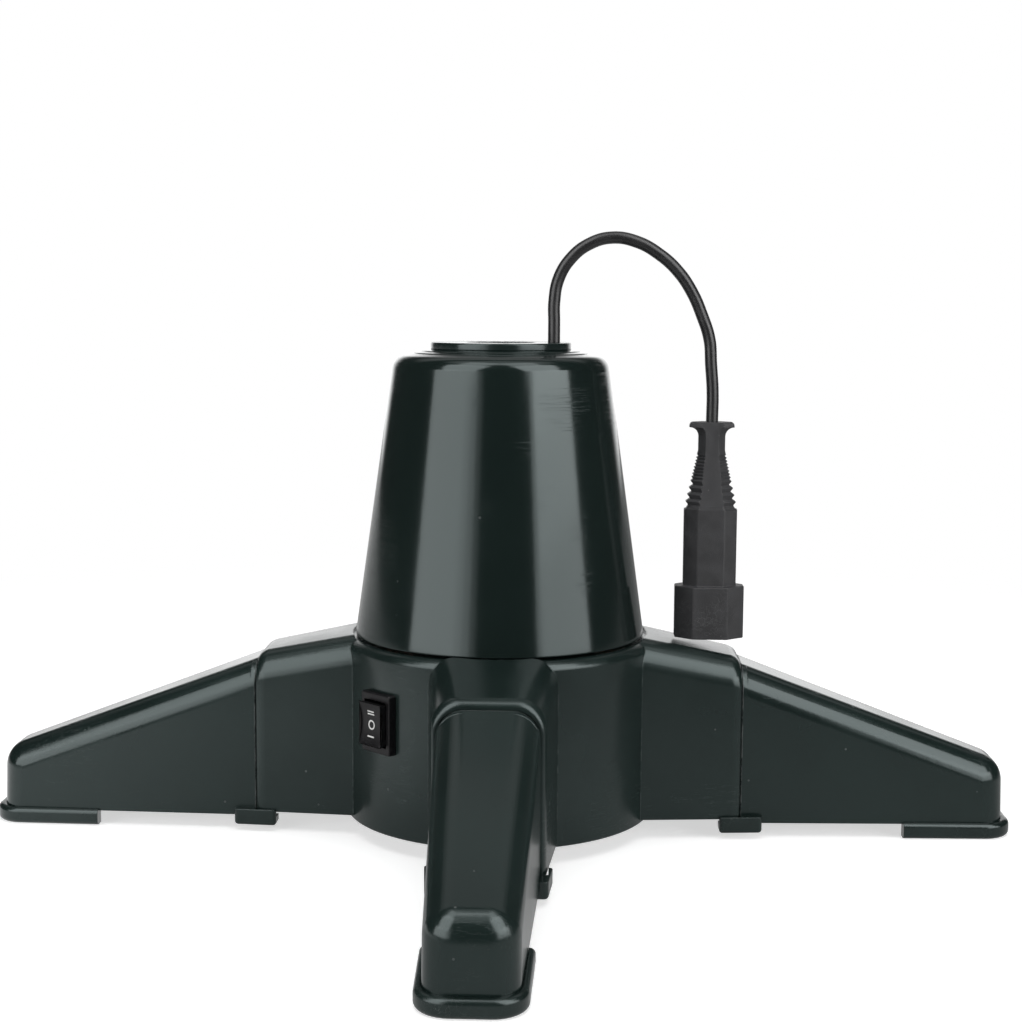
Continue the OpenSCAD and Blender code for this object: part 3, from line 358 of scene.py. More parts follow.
def tree_of(*values):
    """The node tree that the outputs among some values belong to."""
    return next(v.id_data for v in values if isinstance(v, bpy.types.NodeSocket))


def calc(operation, *values):
    """An operation on plain values or outputs. More than two are taken from the last back."""
    if len(values) > 2:
        values = values[0], calc(operation, *values[1:])
    node = add_node(tree_of(*values), "Math", dict(enumerate(values)), operation=operation)
    return node.outputs[0]


def span(value, low, high, out_low=0.0, out_high=1.0):
    """The value from low to high, eased into another span and held there."""
    node = add_node(tree_of(value), "MapRange", {
        "Value": value, "From Min": low, "From Max": high, "To Min": out_low, "To Max": out_high,
    }, interpolation_type="SMOOTHSTEP")
    return node.outputs["Result"]


def noise(vector, scale, detail=2.0, roughness=0.5):
    node = add_node(tree_of(vector), "TexNoise", {
        "Vector": vector, "Scale": scale, "Detail": detail, "Roughness": roughness,
    })
    return node.outputs["Fac"]


def new_effect(name, inputs, outputs):
    tree = bpy.data.node_groups.new(name, "ShaderNodeTree")
    for side, labels in (("INPUT", inputs), ("OUTPUT", outputs)):
        for label in labels:
            kind = "NodeSocketVector" if label in VECTOR_SOCKETS else "NodeSocketFloat"
            tree.interface.new_socket(label, in_out=side, socket_type=kind)
    ins = tree.nodes.new("NodeGroupInput").outputs
    outs = tree.nodes.new("NodeGroupOutput").inputs
    return tree, ins, outs


def place_effect(tree, effect, sockets):
    return add_node(tree, "Group", sockets, node_tree=effect).outputs


def new_material(name):
    """A material, its node tree and its surface."""
    material = bpy.data.materials.new(name)
    material.use_nodes = True
    return material, material.node_tree, material.node_tree.nodes.get("Principled BSDF")


def make_moulded_skin():
    """The skin of a moulding: slow blotches in tone, and the fine relief of the mould."""
    tree, ins, outs = new_effect(
        "moulded_skin", ["Vector", "Blotch Scale", "Grain Scale"], ["Tone", "Height"]
    )
    blotch = noise(ins["Vector"], ins["Blotch Scale"], 3)
    grain = noise(ins["Vector"], ins["Grain Scale"], 2, 0.6)
    link(span(blotch, *BLOTCH), outs["Tone"])
    link(grain, outs["Height"])
    return tree


def make_scuffs():
    """Fine wandering scratches in a few patches, and small bright specks of dust."""
    tree, ins, outs = new_effect(
        "scuffs", ["Vector", "Stretch", "Thinness", "Speck Scale"], ["Scratches", "Specks"]
    )
    pulled = add_node(tree, "VectorMath", {
        0: ins["Vector"], 1: ins["Stretch"],
    }, operation="MULTIPLY")
    line = noise(pulled.outputs[0], 1, 3, 0.55)
    off = calc("ABSOLUTE", calc("SUBTRACT", line, 0.5))
    thin = calc("SUBTRACT", 1, span(off, 0, ins["Thinness"]))
    patch = span(noise(ins["Vector"], PATCH_SCALE, 2), *PATCH)
    link(calc("MULTIPLY", thin, patch), outs["Scratches"])
    cells = add_node(tree, "TexVoronoi", {"Vector": ins["Vector"], "Scale": ins["Speck Scale"]})
    dot = calc("SUBTRACT", 1, span(cells.outputs["Distance"], *SPECK_SIZE))
    chance = add_node(tree, "SeparateColor", {"Color": cells.outputs["Color"]})
    rare = span(chance.outputs["Red"], *SPECK_CHANCE)
    link(calc("MULTIPLY", dot, rare), outs["Specks"])
    return tree


def make_edge_wear():
    """Rounded normals at the edges, and a broken line where handling has rubbed them."""
    tree, ins, outs = new_effect("edge_wear", ["Vector", "Width"], ["Mask", "Normal"])
    rounded = add_node(tree, "Bevel", {"Radius": ins["Width"]}, samples=6)
    plain = add_node(tree, "NewGeometry")
    along = add_node(tree, "VectorMath", {
        0: rounded.outputs["Normal"], 1: plain.outputs["Normal"],
    }, operation="DOT_PRODUCT")
    edge = span(along.outputs["Value"], *EDGE_TURN)
    broken = span(noise(ins["Vector"], EDGE_BREAK_SCALE, 4, 0.7), *EDGE_BREAK)
    link(calc("MULTIPLY", edge, broken), outs["Mask"])
    link(rounded.outputs["Normal"], outs["Normal"])
    return tree


def paint_seam_highlight():
    """A painted highlight: a thin broken pale line at one distance out along the legs."""
    tree, ins, outs = new_effect("seam_highlight_paint", ["Vector", "Start", "End"], ["Mask"])
    place = add_node(tree, "SeparateXYZ", {"Vector": ins["Vector"]}).outputs
    out = calc("MAXIMUM", calc("ABSOLUTE", place["X"]), calc("ABSOLUTE", place["Y"]))
    line = calc("MULTIPLY", calc("GREATER_THAN", out, ins["Start"]),
                calc("LESS_THAN", out, ins["End"]))
    broken = span(noise(ins["Vector"], SEAM_BREAK_SCALE, 4, 0.7), *SEAM_BREAK)
    link(calc("MULTIPLY", line, broken), outs["Mask"])
    return tree


MOULDED_SKIN = make_moulded_skin()
SCUFFS = make_scuffs()
EDGE_WEAR = make_edge_wear()
PAINTED_SEAM_HIGHLIGHT = paint_seam_highlight()


def shade(color, factor):
    return [min(1.0, c * factor) for c in color[:3]] + [1.0]


def hexed(text):
    """A picture colour, such as 3d4143, as linear light."""
    parts = [int(text[k:k + 2], 16) / 255 for k in (0, 2, 4)]
    return [c / 12.92 if c <= 0.04045 else ((c + 0.055) / 1.055) ** 2.4 for c in parts] + [1.0]


def moulding(name, color, roughness, blotch=0.12, blotch_scale=40, grain_scale=1500,
             grain_depth=0.00001, stretch=(300, 300, 300), thinness=0.02, scratch=0.25,
             speck=0.3, speck_scale=220, edge=0.0008, wear=0.5, rough_spread=0.06, seam=None,
             gloss_tint=(1, 1, 1)):
    """A moulded plastic: blotched tone, mould relief, scratches, specks and rubbed edges, and,
    where a seam is given, a painted highlight along it.
    """
    material, tree, surface = new_material(name)
    surface.inputs["Specular Tint"].default_value = (*gloss_tint, 1)
    where = add_node(tree, "TexCoord").outputs["Object"]
    skin = place_effect(tree, MOULDED_SKIN, {
        "Vector": where, "Blotch Scale": blotch_scale, "Grain Scale": grain_scale,
    })
    marks = place_effect(tree, SCUFFS, {
        "Vector": where, "Stretch": stretch, "Thinness": thinness, "Speck Scale": speck_scale,
    })
    rubbed = place_effect(tree, EDGE_WEAR, {"Vector": where, "Width": edge})
    tone = add_node(tree, "Mix", {
        "Factor": skin["Tone"], 6: shade(color, 1 - blotch), 7: shade(color, 1 + blotch),
    }, data_type="RGBA")
    lighter = [PALE_SHARE * c + PALE_WHITE for c in color[:3]] + [1.0]
    pale = calc("ADD", calc("MULTIPLY", marks["Scratches"], scratch),
                calc("MULTIPLY", marks["Specks"], speck),
                calc("MULTIPLY", rubbed["Mask"], wear))
    # a painted highlight: a pale broken line along the seam
    if seam:
        start, end = seam
        line = place_effect(tree, PAINTED_SEAM_HIGHLIGHT, {
            "Vector": where, "Start": start * MM, "End": end * MM,
        })
        pale = calc("ADD", pale, calc("MULTIPLY", line["Mask"], SEAM_HIGHLIGHT_PALE))
    paled = add_node(tree, "Mix", {
        "Factor": calc("MINIMUM", pale, PALE_MOST), 6: tone.outputs[2], 7: lighter,
    }, data_type="RGBA")
    link(paled.outputs[2], surface.inputs["Base Color"])
    half = rough_spread / 2
    rough = calc("ADD", span(skin["Tone"], 0, 1, roughness - half, roughness + half),
                 calc("MULTIPLY", pale, PALE_ROUGH))
    link(rough, surface.inputs["Roughness"])
    scored = calc("MULTIPLY", marks["Scratches"], SCRATCH_DEPTH)
    relief = calc("SUBTRACT", skin["Height"], scored)
    bump = add_node(tree, "Bump", {
        "Height": relief, "Distance": grain_depth, "Normal": rubbed["Normal"],
    })
    link(bump.outputs["Normal"], surface.inputs["Normal"])
    return material


def dress(piece, material):
    """Gives a piece, or a node of the frame, its material."""
    for held in piece.material_slots:
        held.material = material
    if not piece.material_slots:
        piece.data.materials.append(material)


connector_black = moulding(
    "connector_black", hexed("2b2b2d"), 0.5, blotch=0.2, blotch_scale=120, grain_scale=2600,
    grain_depth=0.00012, scratch=0.1, speck=0.5, speck_scale=420, edge=0.0004, wear=0.35,
)
dress(connector, connector_black)
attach(connector, "tower")
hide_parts("outlet_connector")

# ---------------- outlet lead
# A round lead with a smooth black jacket, 6 mm thick and about 180 mm long. It leaves
# the collar straight up, bends over the tower's shoulder and hangs beside the tower,
# with the connector on its end.
ROUTE = [
    (26, 241), (26, 251), (26, 261), (28, 272), (34, 282), (43, 289), (54, 292),
    (66, 290), (77, 284), (86, 276), (93, 266), (98, 255), (102, 243), (103, 231),
    (104, 218), (104, 202.6),
]

lead_curve = bpy.data.curves.new("outlet_lead_jacket", "CURVE")
lead_curve.dimensions = "3D"
lead_curve.bevel_depth = LEAD_R * MM
lead_curve.bevel_resolution = 6
lead_curve.resolution_u = 8
lead_curve.use_fill_caps = True
spline = lead_curve.splines.new("BEZIER")
spline.bezier_points.add(len(ROUTE) - 1)
for point, (x, z) in zip(spline.bezier_points, ROUTE):
    point.co = (x * MM, 0, z * MM)
    point.handle_left_type = point.handle_right_type = "AUTO"
lead = bpy.data.objects.new("outlet_lead_jacket", lead_curve)
bpy.context.scene.collection.objects.link(lead)
lead_black = moulding(
    "lead_black", hexed("232324"), 0.3, blotch=0.1, blotch_scale=90, grain_scale=900,
    grain_depth=0.00003, scratch=0.1, speck=0.2, edge=0.0001, wear=0,
)
dress(lead, lead_black)
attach(lead, "tower")
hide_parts("outlet_lead")

# ---------------- tower shell
# The turning cone: one gloss moulding with a rounded shoulder and a low dome with two
# faint rings on its top, open below, with six ribs inside. Its side carries faint
# rings of handling.
SHELL_LOW, SHELL_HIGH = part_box("tower_shell")
TOWER_BASE_Z = SHELL_LOW.z / MM
SHELL_TOP_Z = SHELL_HIGH.z / MM
TOWER_BASE_R = SHELL_HIGH.x / MM
SHOULDER_DROP = 1.2
TOWER_TOP_Z = SHELL_TOP_Z - SHOULDER_DROP
SHELL_ROOF_T = 4.5
TOWER_TOP_R = 52.5
SHOULDER_R = 7.2
SHELL_WALL = 2.8
DOME_SLOPE = math.radians(11)
DOME_RINGS = ((43, 0.35), (39.3, 0.3))
CREST_R = 35.2
SKIRT_HOLE_R = 22.25
# the foot's edge, inwards and upwards from its corner, and the rings up the side
FOOT_EDGE = ((0.5, 0), (0.12, 0.15))
FOOT_RINGS = (0.6, 4)
SIDE_RINGS_Z = (120, 145, 170, 195, 215)
SHELL_RIBS = 6
RIB_DEPTH = 6
RIB_HALF_T = 1
RIB_ROUND = 5
TAPER = (TOWER_BASE_R - TOWER_TOP_R) / (TOWER_TOP_Z - TOWER_BASE_Z)
TAPER_ANGLE = math.atan(TAPER)
TOWER_SIDES = 256


def cone_r(z, inset=0.0):
    return TOWER_BASE_R - (z - TOWER_BASE_Z) * TAPER - inset / math.cos(TAPER_ANGLE)


def arc(r, z, radius, start, end, steps):
    """Points of a round corner about (r, z), as (radius, height)."""
    angles = [start + (end - start) * k / steps for k in range(steps + 1)]
    return [(r + radius * math.cos(a), z + radius * math.sin(a)) for a in angles]


def ring_form(name, points, sides, closed=True):
    """A ring, extruded through (radius, height) points in millimetres and joined up.
    When it isn't closed it is filled, from its first point to its last."""
    clear_selection()
    (r0, z0), rest = points[0], points[1:] + (points[:1] if closed else [])
    bpy.ops.mesh.primitive_circle_add(
        vertices=sides, radius=r0 * MM, fill_type="NOTHING" if closed else "NGON",
        location=(0, 0, z0 * MM),
    )
    piece = take_up(name)
    pick_all()
    for r, z in rest:
        extrude(z=z - z0)
        resize((r / r0, r / r0, 1), (0, 0, z * MM))
        r0, z0 = r, z
    pick_all()
    bpy.ops.mesh.remove_doubles(threshold=0.000002)
    bpy.ops.mesh.normals_make_consistent(inside=False)
    bpy.ops.object.mode_set(mode="OBJECT")
    return piece


def rod(name, radius, low, high, sides):
    return ring_form(name, [(radius, low), (radius, high)], sides, closed=False)


round_z = TOWER_TOP_Z - SHOULDER_R
round_r = cone_r(round_z, SHOULDER_R)
outside = [(TOWER_BASE_R - inwards, TOWER_BASE_Z + up) for inwards, up in FOOT_EDGE]
outside += [(cone_r(TOWER_BASE_Z + up), TOWER_BASE_Z + up) for up in FOOT_RINGS]
outside += [(cone_r(z), z) for z in SIDE_RINGS_Z]
outside += arc(round_r, round_z, SHOULDER_R, TAPER_ANGLE, math.pi / 2 - DOME_SLOPE, 12)
for ring_r, rise in DOME_RINGS:
    r, z = outside[-1]
    z += (r - ring_r) * math.tan(DOME_SLOPE)
    outside += [(ring_r + 0.2, z), (ring_r, z + rise * 0.3), (ring_r - 0.15, z + rise)]
r, z = outside[-1]
CREST_Z = z + (r - CREST_R) * math.tan(DOME_SLOPE)
outside += [(CREST_R, CREST_Z)]
inner_z = SHELL_TOP_Z - SHELL_ROOF_T
inner_round = SHOULDER_R - SHELL_WALL
inner_round_z = inner_z - inner_round
inner_round_r = cone_r(inner_round_z, SHOULDER_R)
inside = [(SKIRT_HOLE_R, CREST_Z), (SKIRT_HOLE_R, inner_z)]
inside += arc(inner_round_r, inner_round_z, inner_round, math.pi / 2, TAPER_ANGLE, 5)
inside += [(cone_r(TOWER_BASE_Z, SHELL_WALL), TOWER_BASE_Z)]
shell = ring_form("tower_shell_moulding", outside + inside, TOWER_SIDES)

rib_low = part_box("slip_ring_disc")[1].z / MM + 0.3
rib_high = inner_z + 1
rib_corner_x = cone_r(rib_high, 4)
for k in range(SHELL_RIBS):
    x_in, x_out = cone_r(rib_low, SHELL_WALL + RIB_DEPTH), cone_r(rib_low, SHELL_WALL - 1)
    rib = block("rib", (x_in, -RIB_HALF_T, rib_low), (x_out, RIB_HALF_T, rib_high))
    pick("VERT", lambda v: v.co.z / MM > rib_high - 1)
    slide(x=(rib_low - rib_high) * TAPER)
    bevel(RIB_ROUND, 5,
          lambda e: runs(e, "y") and middle(e).z > rib_high - 1 and middle(e).x > rib_corner_x)
    turn(rib, WHOLE_TURN * (k + 0.5) / SHELL_RIBS)
    carve(shell, rib, "UNION")
smooth(shell)
GREEN_GLOSS = (0.88, 1, 1)
tower_green = moulding(
    "tower_green", hexed("16201e"), 0.14, blotch=0.08, blotch_scale=14, grain_scale=130,
    grain_depth=0.00002, stretch=(9, 9, 1100), thinness=0.01, scratch=0.012, speck=0.25,
    speck_scale=150, edge=0.0006, wear=0.12, rough_spread=0.03, gloss_tint=GREEN_GLOSS,
)
dress(shell, tower_green)
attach(shell, "tower")
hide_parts("tower_shell")

# ---------------- top collar
# The disc round the pole hole: a bevelled moulding with fourteen short teeth that grip
# the tree's pole, a hole for the lead and one small blind hole. Three screws hold it
# from below.
COLLAR_LOW, COLLAR_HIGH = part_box("top_collar")
COLLAR_R = COLLAR_HIGH.x / MM
COLLAR_TOP_Z = COLLAR_HIGH.z / MM
COLLAR_Z = CREST_Z
SKIRT_END_Z = COLLAR_LOW.z / MM
SKIRT_R = (19.55, 21.95)
COLLAR_FOOT_EDGE, COLLAR_EDGE, BORE_EDGE = 0.3, 0.8, 0.3
BORE_R = 17.2
TUBE_TOP_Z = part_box("pole_tube")[1].z / MM + 0.3
TEETH = 14
TOOTH_R = 1.15
TOOTH_BITE = 0.95
TEETH_TOP_Z = COLLAR_TOP_Z - 0.4
COLLAR_SIDES = TEETH * 20
LEAD_HOLE_R = 3.3
PIP_R = 1.6
PIP_DEPTH = 2
PIP_AT = 29.5
PIP_ANGLE = math.radians(-83)
DRILL_DEPTH = 20
DRILL_EDGE = 0.3


def polar(radius, angle):
    return radius * math.cos(angle), radius * math.sin(angle)


e = COLLAR_FOOT_EDGE
rings = arc(COLLAR_R - e, COLLAR_Z + e, e, -math.pi / 2, 0, 2)
e = COLLAR_EDGE
rings += arc(COLLAR_R - e, COLLAR_TOP_Z - e, e, 0, math.pi / 2, 5)
rings += [(BORE_R + 2.2, COLLAR_TOP_Z)]
e = BORE_EDGE
rings += arc(BORE_R + e, COLLAR_TOP_Z - e, e, math.pi / 2, math.pi, 3)
rings += [(BORE_R, TEETH_TOP_Z - 0.1), (BORE_R, TUBE_TOP_Z), (SKIRT_R[0], TUBE_TOP_Z)]
rings += [(SKIRT_R[0], SKIRT_END_Z), (SKIRT_R[1], SKIRT_END_Z), (SKIRT_R[1], COLLAR_Z)]
collar = ring_form("top_collar_moulding", rings, COLLAR_SIDES)
for vertex in collar.data.vertices:
    radius = math.hypot(vertex.co.x, vertex.co.y) / MM
    if radius < BORE_R + 0.28 and vertex.co.z / MM > TUBE_TOP_Z - 0.1:
        place = math.atan2(vertex.co.y, vertex.co.x) / WHOLE_TURN * TEETH - 0.5
        across = (place - round(place)) * WHOLE_TURN / TEETH * BORE_R
        if abs(across) < TOOTH_R:
            reach = math.sqrt(TOOTH_R ** 2 - across ** 2) * TOOTH_BITE / TOOTH_R
            vertex.co.xy *= (radius - reach) / radius
for (x, y), radius, depth in (
    ((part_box("inner_lead")[0].x / MM + LEAD_R, 0), LEAD_HOLE_R, DRILL_DEPTH),
    (polar(PIP_AT, PIP_ANGLE), PIP_R, PIP_DEPTH),
):
    wide = radius + DRILL_EDGE
    drill = ring_form("drill", [
        (radius, COLLAR_TOP_Z - depth), (radius, COLLAR_TOP_Z + FIT - DRILL_EDGE),
        (wide, COLLAR_TOP_Z + FIT), (wide, COLLAR_TOP_Z + CUT),
    ], 32, closed=False)
    shift(drill, x, y, 0)
    carve(collar, drill)
smooth(collar, 30)
collar_green = moulding(
    "collar_green", hexed("192422"), 0.2, blotch=0.12, blotch_scale=60, grain_scale=700,
    grain_depth=0.00003, thinness=0.015, scratch=0.12, speck=0.4, edge=0.0004, wear=0.3,
    gloss_tint=GREEN_GLOSS,
)
dress(collar, collar_green)
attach(collar, "tower")
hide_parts("top_collar")

# ---------------- hub housing
# The drum and its four leg sockets, one satin moulding. Each socket falls away from
# the drum and has long round upper edges and a rounded mouth. Inside are the bosses
# for the cover's screws and two posts for the motor.
DRUM_R = 76.5
DRUM_LOW_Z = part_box("bottom_cover")[0].z / MM
DECK_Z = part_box("lower_race")[0].z / MM
DECK_T = 3
COVER_T = 3
HUB_WALL = 2.6
RIM_ROUND = 4.5
RIM_BREAK = 0.4
RACE_W = 9
RACE_RIM_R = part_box("lower_race")[1].x / MM - RACE_W - FIT
RACE_RIM_H = 2
DECK_HOLE_R = 20.5
DRUM_SIDES = 288
SOCKET_ROOT = 62
SOCKET_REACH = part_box("hub_housing")[1].x / MM
SOCKET_HALF = (30.86, 25.5)
SOCKET_TOP_Z = (99.4, 88)
SOCKET_LOW_Z = DRUM_LOW_Z + 1.6
SOCKET_ROUND = 13.5
MOUTH_ROUND = 5
MOUTH_STEPS = 6
MOUTH_DRAW = 1.7
MOUTH_FALL = 3.1
WELL_H = 20
CAVITY_X = 81
CAVITY_Z = (12.1, 83.8)
CAVITY_HALF = 22.9
CAVITY_ROUND = 11.4
TOWER_RING_R = TOWER_BASE_R + 1.5
SWITCH_ANGLE = math.radians(225)
SWITCH_Z = 62.4
SWITCH_BODY = (18, 20, 26)
GLAND_ANGLE = math.radians(45)
GLAND_Z = 26
GLAND_HOLE_R = 6.05
COVER_SCREW_AT = 64.1
BOSS_R = 4.5
SCREW_HOLE_R = 1.55
MOTOR_ANGLE = math.radians(135)
MOTOR_AT = 46.25
EAR_AT = 29.05
MOTOR_TOP_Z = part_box("motor_screws")[0].z / MM + 3.5
SIDES = ("front", "right", "rear", "left")
TURNS = {"front": -90, "right": 0, "rear": 90, "left": 180}


def arched_bar(name, x, half, z, radius):
    """A bar along +X with two long round upper edges. half and z give both ends."""
    bar = block(name, (x[0], -half[0], z[0]), (x[1], half[0], z[1]))
    end = (x[0] + x[1]) / 2
    pick("VERT", lambda v: v.co.x / MM > end)
    resize((1, half[1] / half[0], 1), (x[1] * MM, 0, 0))
    pick("VERT", lambda v: v.co.x / MM > end and v.co.z / MM > z[0] + 1)
    slide(z=z[2] - z[1])
    bevel(radius, 10, lambda e: runs(e, "x") and middle(e).z > z[0] + 1)
    return bar


hub_profile = [(DRUM_R, DRUM_LOW_Z + RIM_BREAK)]
hub_profile += arc(DRUM_R - RIM_ROUND, DECK_Z - RIM_ROUND, RIM_ROUND, 0, math.pi / 2, 10)
hub_profile += [(RACE_RIM_R, DECK_Z), (RACE_RIM_R, DECK_Z + RACE_RIM_H)]
hub_profile += [(DECK_HOLE_R, DECK_Z + RACE_RIM_H)]
hub_profile += [(DECK_HOLE_R, DECK_Z - DECK_T), (DRUM_R - HUB_WALL, DECK_Z - DECK_T)]
hub_profile += [(DRUM_R - HUB_WALL, DRUM_LOW_Z), (DRUM_R - RIM_BREAK, DRUM_LOW_Z)]
hub = ring_form("hub_housing_moulding", hub_profile, DRUM_SIDES)
straight_share = (SOCKET_REACH - MOUTH_ROUND - SOCKET_ROOT) / (SOCKET_REACH - SOCKET_ROOT)
for name in SIDES:
    # the mouth turns in from the last straight section by a quarter round
    size = [between(*ends, straight_share) for ends in (SOCKET_HALF, SOCKET_TOP_Z)]
    socket = arched_bar(
        "socket", (SOCKET_ROOT, SOCKET_REACH - MOUTH_ROUND), (SOCKET_HALF[0], size[0]),
        (SOCKET_LOW_Z, SOCKET_TOP_Z[0], size[1]), SOCKET_ROUND,
    )
    pick("FACE", lambda f: f.normal.x > 0.9)
    done = 0
    for k in range(1, MOUTH_STEPS + 1):
        a = math.pi / 2 * k / MOUTH_STEPS
        share = between(straight_share, 1, math.sin(a))
        half = between(*SOCKET_HALF, share) - MOUTH_DRAW * (1 - math.cos(a))
        top = between(*SOCKET_TOP_Z, share) - MOUTH_FALL * (1 - math.cos(a))
        extrude(x=MOUTH_ROUND * (math.sin(a) - done))
        resize((1, half / size[0], (top - SOCKET_LOW_Z) / (size[1] - SOCKET_LOW_Z)),
               (0, 0, SOCKET_LOW_Z * MM))
        size, done = [half, top], math.sin(a)
    # the socket's inner end stops in the drum's wall
    carve(socket, rod("bore", DRUM_R - HUB_WALL + 0.2, 0, DECK_Z - DECK_T, DRUM_SIDES))
    turn(socket, math.radians(TURNS[name]))
    carve(hub, socket, "UNION")
# a round space for the tower, which spares the rim round the bearing
well = rod("well", TOWER_RING_R, DECK_Z + 0.02, DECK_Z + WELL_H, DRUM_SIDES)
carve(well, rod("guard", RACE_RIM_R, DECK_Z - 1, DECK_Z + RACE_RIM_H, 96))
carve(hub, well)
for name in SIDES:
    cavity = arched_bar("cavity", (CAVITY_X, SOCKET_REACH + 5), (CAVITY_HALF, CAVITY_HALF),
                        (CAVITY_Z[0], CAVITY_Z[1], CAVITY_Z[1]), CAVITY_ROUND)
    turn(cavity, math.radians(TURNS[name]))
    carve(hub, cavity)
posts = [(*polar(COVER_SCREW_AT, math.radians(TURNS[name])), DRUM_LOW_Z + COVER_T)
         for name in SIDES]
(motor_x, motor_y), (ear_x, ear_y) = polar(MOTOR_AT, MOTOR_ANGLE), polar(EAR_AT, MOTOR_ANGLE)
posts += [(motor_x - sign * ear_y, motor_y + sign * ear_x, MOTOR_TOP_Z) for sign in (-1, 1)]
post_top = DECK_Z - DECK_T + 1
for x, y, z in posts:
    post = ring_form("post", [
        (BOSS_R, z), (BOSS_R, post_top), (SCREW_HOLE_R, post_top), (SCREW_HOLE_R, z),
    ], 32)
    shift(post, x, y, 0)
    carve(hub, post, "UNION")
window_y, window_z = SWITCH_BODY[1] / 2 + FIT, SWITCH_BODY[2] / 2 + FIT
window = block("window", (DRUM_R - SWITCH_BODY[0], -window_y, SWITCH_Z - window_z),
               (DRUM_R + CUT, window_y, SWITCH_Z + window_z))
turn(window, SWITCH_ANGLE)
carve(hub, window)
gland_hole = rod("hole", GLAND_HOLE_R, DRUM_R - 8, DRUM_R + 5, 48)
turn(gland_hole, math.pi / 2, "Y")
shift(gland_hole, 0, 0, GLAND_Z)
turn(gland_hole, GLAND_ANGLE)
carve(hub, gland_hole)
smooth(hub)
hub_green = moulding(
    "hub_green", hexed("192422"), 0.24, blotch=0.1, blotch_scale=22, grain_scale=420,
    grain_depth=0.00003, stretch=(40, 40, 900), thinness=0.008, scratch=0.03,
    speck_scale=160, edge=0.0011, wear=0.35, gloss_tint=GREEN_GLOSS,
)
dress(hub, hub_green)
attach(hub, "base")
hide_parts("hub_housing")

# ---------------- legs
# Four like legs, each a hollow satin moulding, open below: it tapers and falls to a
# round end, has two cross ribs inside, and slides into its socket on a tongue. A sill
# across the mouth closes the seam's foot.
LEG_LOW, LEG_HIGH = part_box("leg_right")
SEAM_GAP = 0.5
LEG_X = SOCKET_REACH + SEAM_GAP
LEG_END_X = LEG_HIGH.x / MM
LEG_Z = LEG_LOW.z / MM
LEG_TOP_Z = (84.4, 40)
LEG_HALF = (23.3, 18.8)
LEG_ROUND = 13.3
END_ROUND = 11
LEG_WALL = 2.6
TONGUE_X = LEG_LOW.x / MM
TONGUE_END_X = LEG_X + LEG_WALL
TONGUE_GAP = 0.4
TONGUE_HALF = CAVITY_HALF - TONGUE_GAP
TONGUE_Z = (CAVITY_Z[0] + 0.3, CAVITY_Z[1] - TONGUE_GAP)
TONGUE_ROUND = CAVITY_ROUND - TONGUE_GAP
SILL_HALF = LEG_HALF[0] - 0.6
SILL_REACH = 0.4
SILL_RAISE = 0.3
LEG_RIBS = (0.32, 0.64)
LEG_RIB_T = 2
LEG_RIB_RAISE = 6
MOUTH_EDGE = 0.5
HULL_SIDES = 64
HULL_FLAT = math.radians(0.3)


def leg_form(name, inset, low):
    """The leg's outer form, or its inside when drawn in by the wall: one taut hull."""
    r, end_r = (LEG_ROUND - inset) * MM, (END_ROUND - inset) * MM
    end_x, end_z = (LEG_END_X - LEG_ROUND) * MM, (LEG_TOP_Z[1] - LEG_ROUND) * MM
    root_z = (LEG_TOP_Z[0] - LEG_ROUND) * MM
    half = (LEG_HALF[0] - inset) * MM
    clear_selection()
    bpy.ops.mesh.primitive_plane_add(
        size=2 * half, location=(LEG_X * MM, 0, low * MM + half), rotation=(0, math.pi / 2, 0)
    )
    form = take_up(name)
    for sign in (-1, 1):
        bpy.ops.mesh.primitive_circle_add(
            vertices=HULL_SIDES, radius=r, rotation=(0, math.pi / 2, 0),
            location=(LEG_X * MM, sign * (LEG_HALF[0] - LEG_ROUND) * MM, root_z),
        )
        end_y = sign * (LEG_HALF[1] - LEG_ROUND) * MM
        bpy.ops.mesh.primitive_uv_sphere_add(
            segments=HULL_SIDES, ring_count=HULL_SIDES // 2, radius=r,
            location=(end_x, end_y, end_z),
        )
        bpy.ops.mesh.primitive_circle_add(vertices=HULL_SIDES, radius=end_r, location=(
            (LEG_END_X - END_ROUND) * MM, sign * (LEG_HALF[1] - END_ROUND) * MM, low * MM,
        ))
    pick_all()
    bpy.ops.mesh.convex_hull()
    pick_all()
    bpy.ops.mesh.dissolve_limited(angle_limit=HULL_FLAT)
    return form


leg = leg_form("leg_moulding_right", 0, LEG_Z)
mouth_x = LEG_X + 0.1
bevel(MOUTH_EDGE, 2, lambda e: max(v.co.x for v in e.verts) / MM < mouth_x
      and middle(e).z > LEG_Z + 1)
tongue = arched_bar("tongue", (TONGUE_X, TONGUE_END_X), (TONGUE_HALF, TONGUE_HALF),
                    (TONGUE_Z[0], TONGUE_Z[1], TONGUE_Z[1]), TONGUE_ROUND)
carve(leg, tongue, "UNION")
sill = block("sill", (LEG_X - SILL_REACH, -SILL_HALF, LEG_Z + SILL_RAISE),
             (LEG_X + LEG_WALL, SILL_HALF, TONGUE_Z[0] + LEG_WALL))
carve(leg, sill, "UNION")
hollow = leg_form("hollow", LEG_WALL, LEG_Z - CUT)
for share in LEG_RIBS:
    x = between(LEG_X, LEG_END_X, share)
    carve(hollow, block("rib", (x, -WIDE, LEG_Z + LEG_RIB_RAISE),
                        (x + LEG_RIB_T, WIDE, LEG_TOP_Z[0] + WIDE)))
carve(leg, hollow)
throat_top_z = TONGUE_Z[1] - LEG_WALL
throat = arched_bar(
    "throat", (TONGUE_X - CUT, TONGUE_END_X + CUT), (TONGUE_HALF - LEG_WALL,) * 2,
    (LEG_Z - CUT, throat_top_z, throat_top_z), TONGUE_ROUND - LEG_WALL,
)
carve(leg, throat)


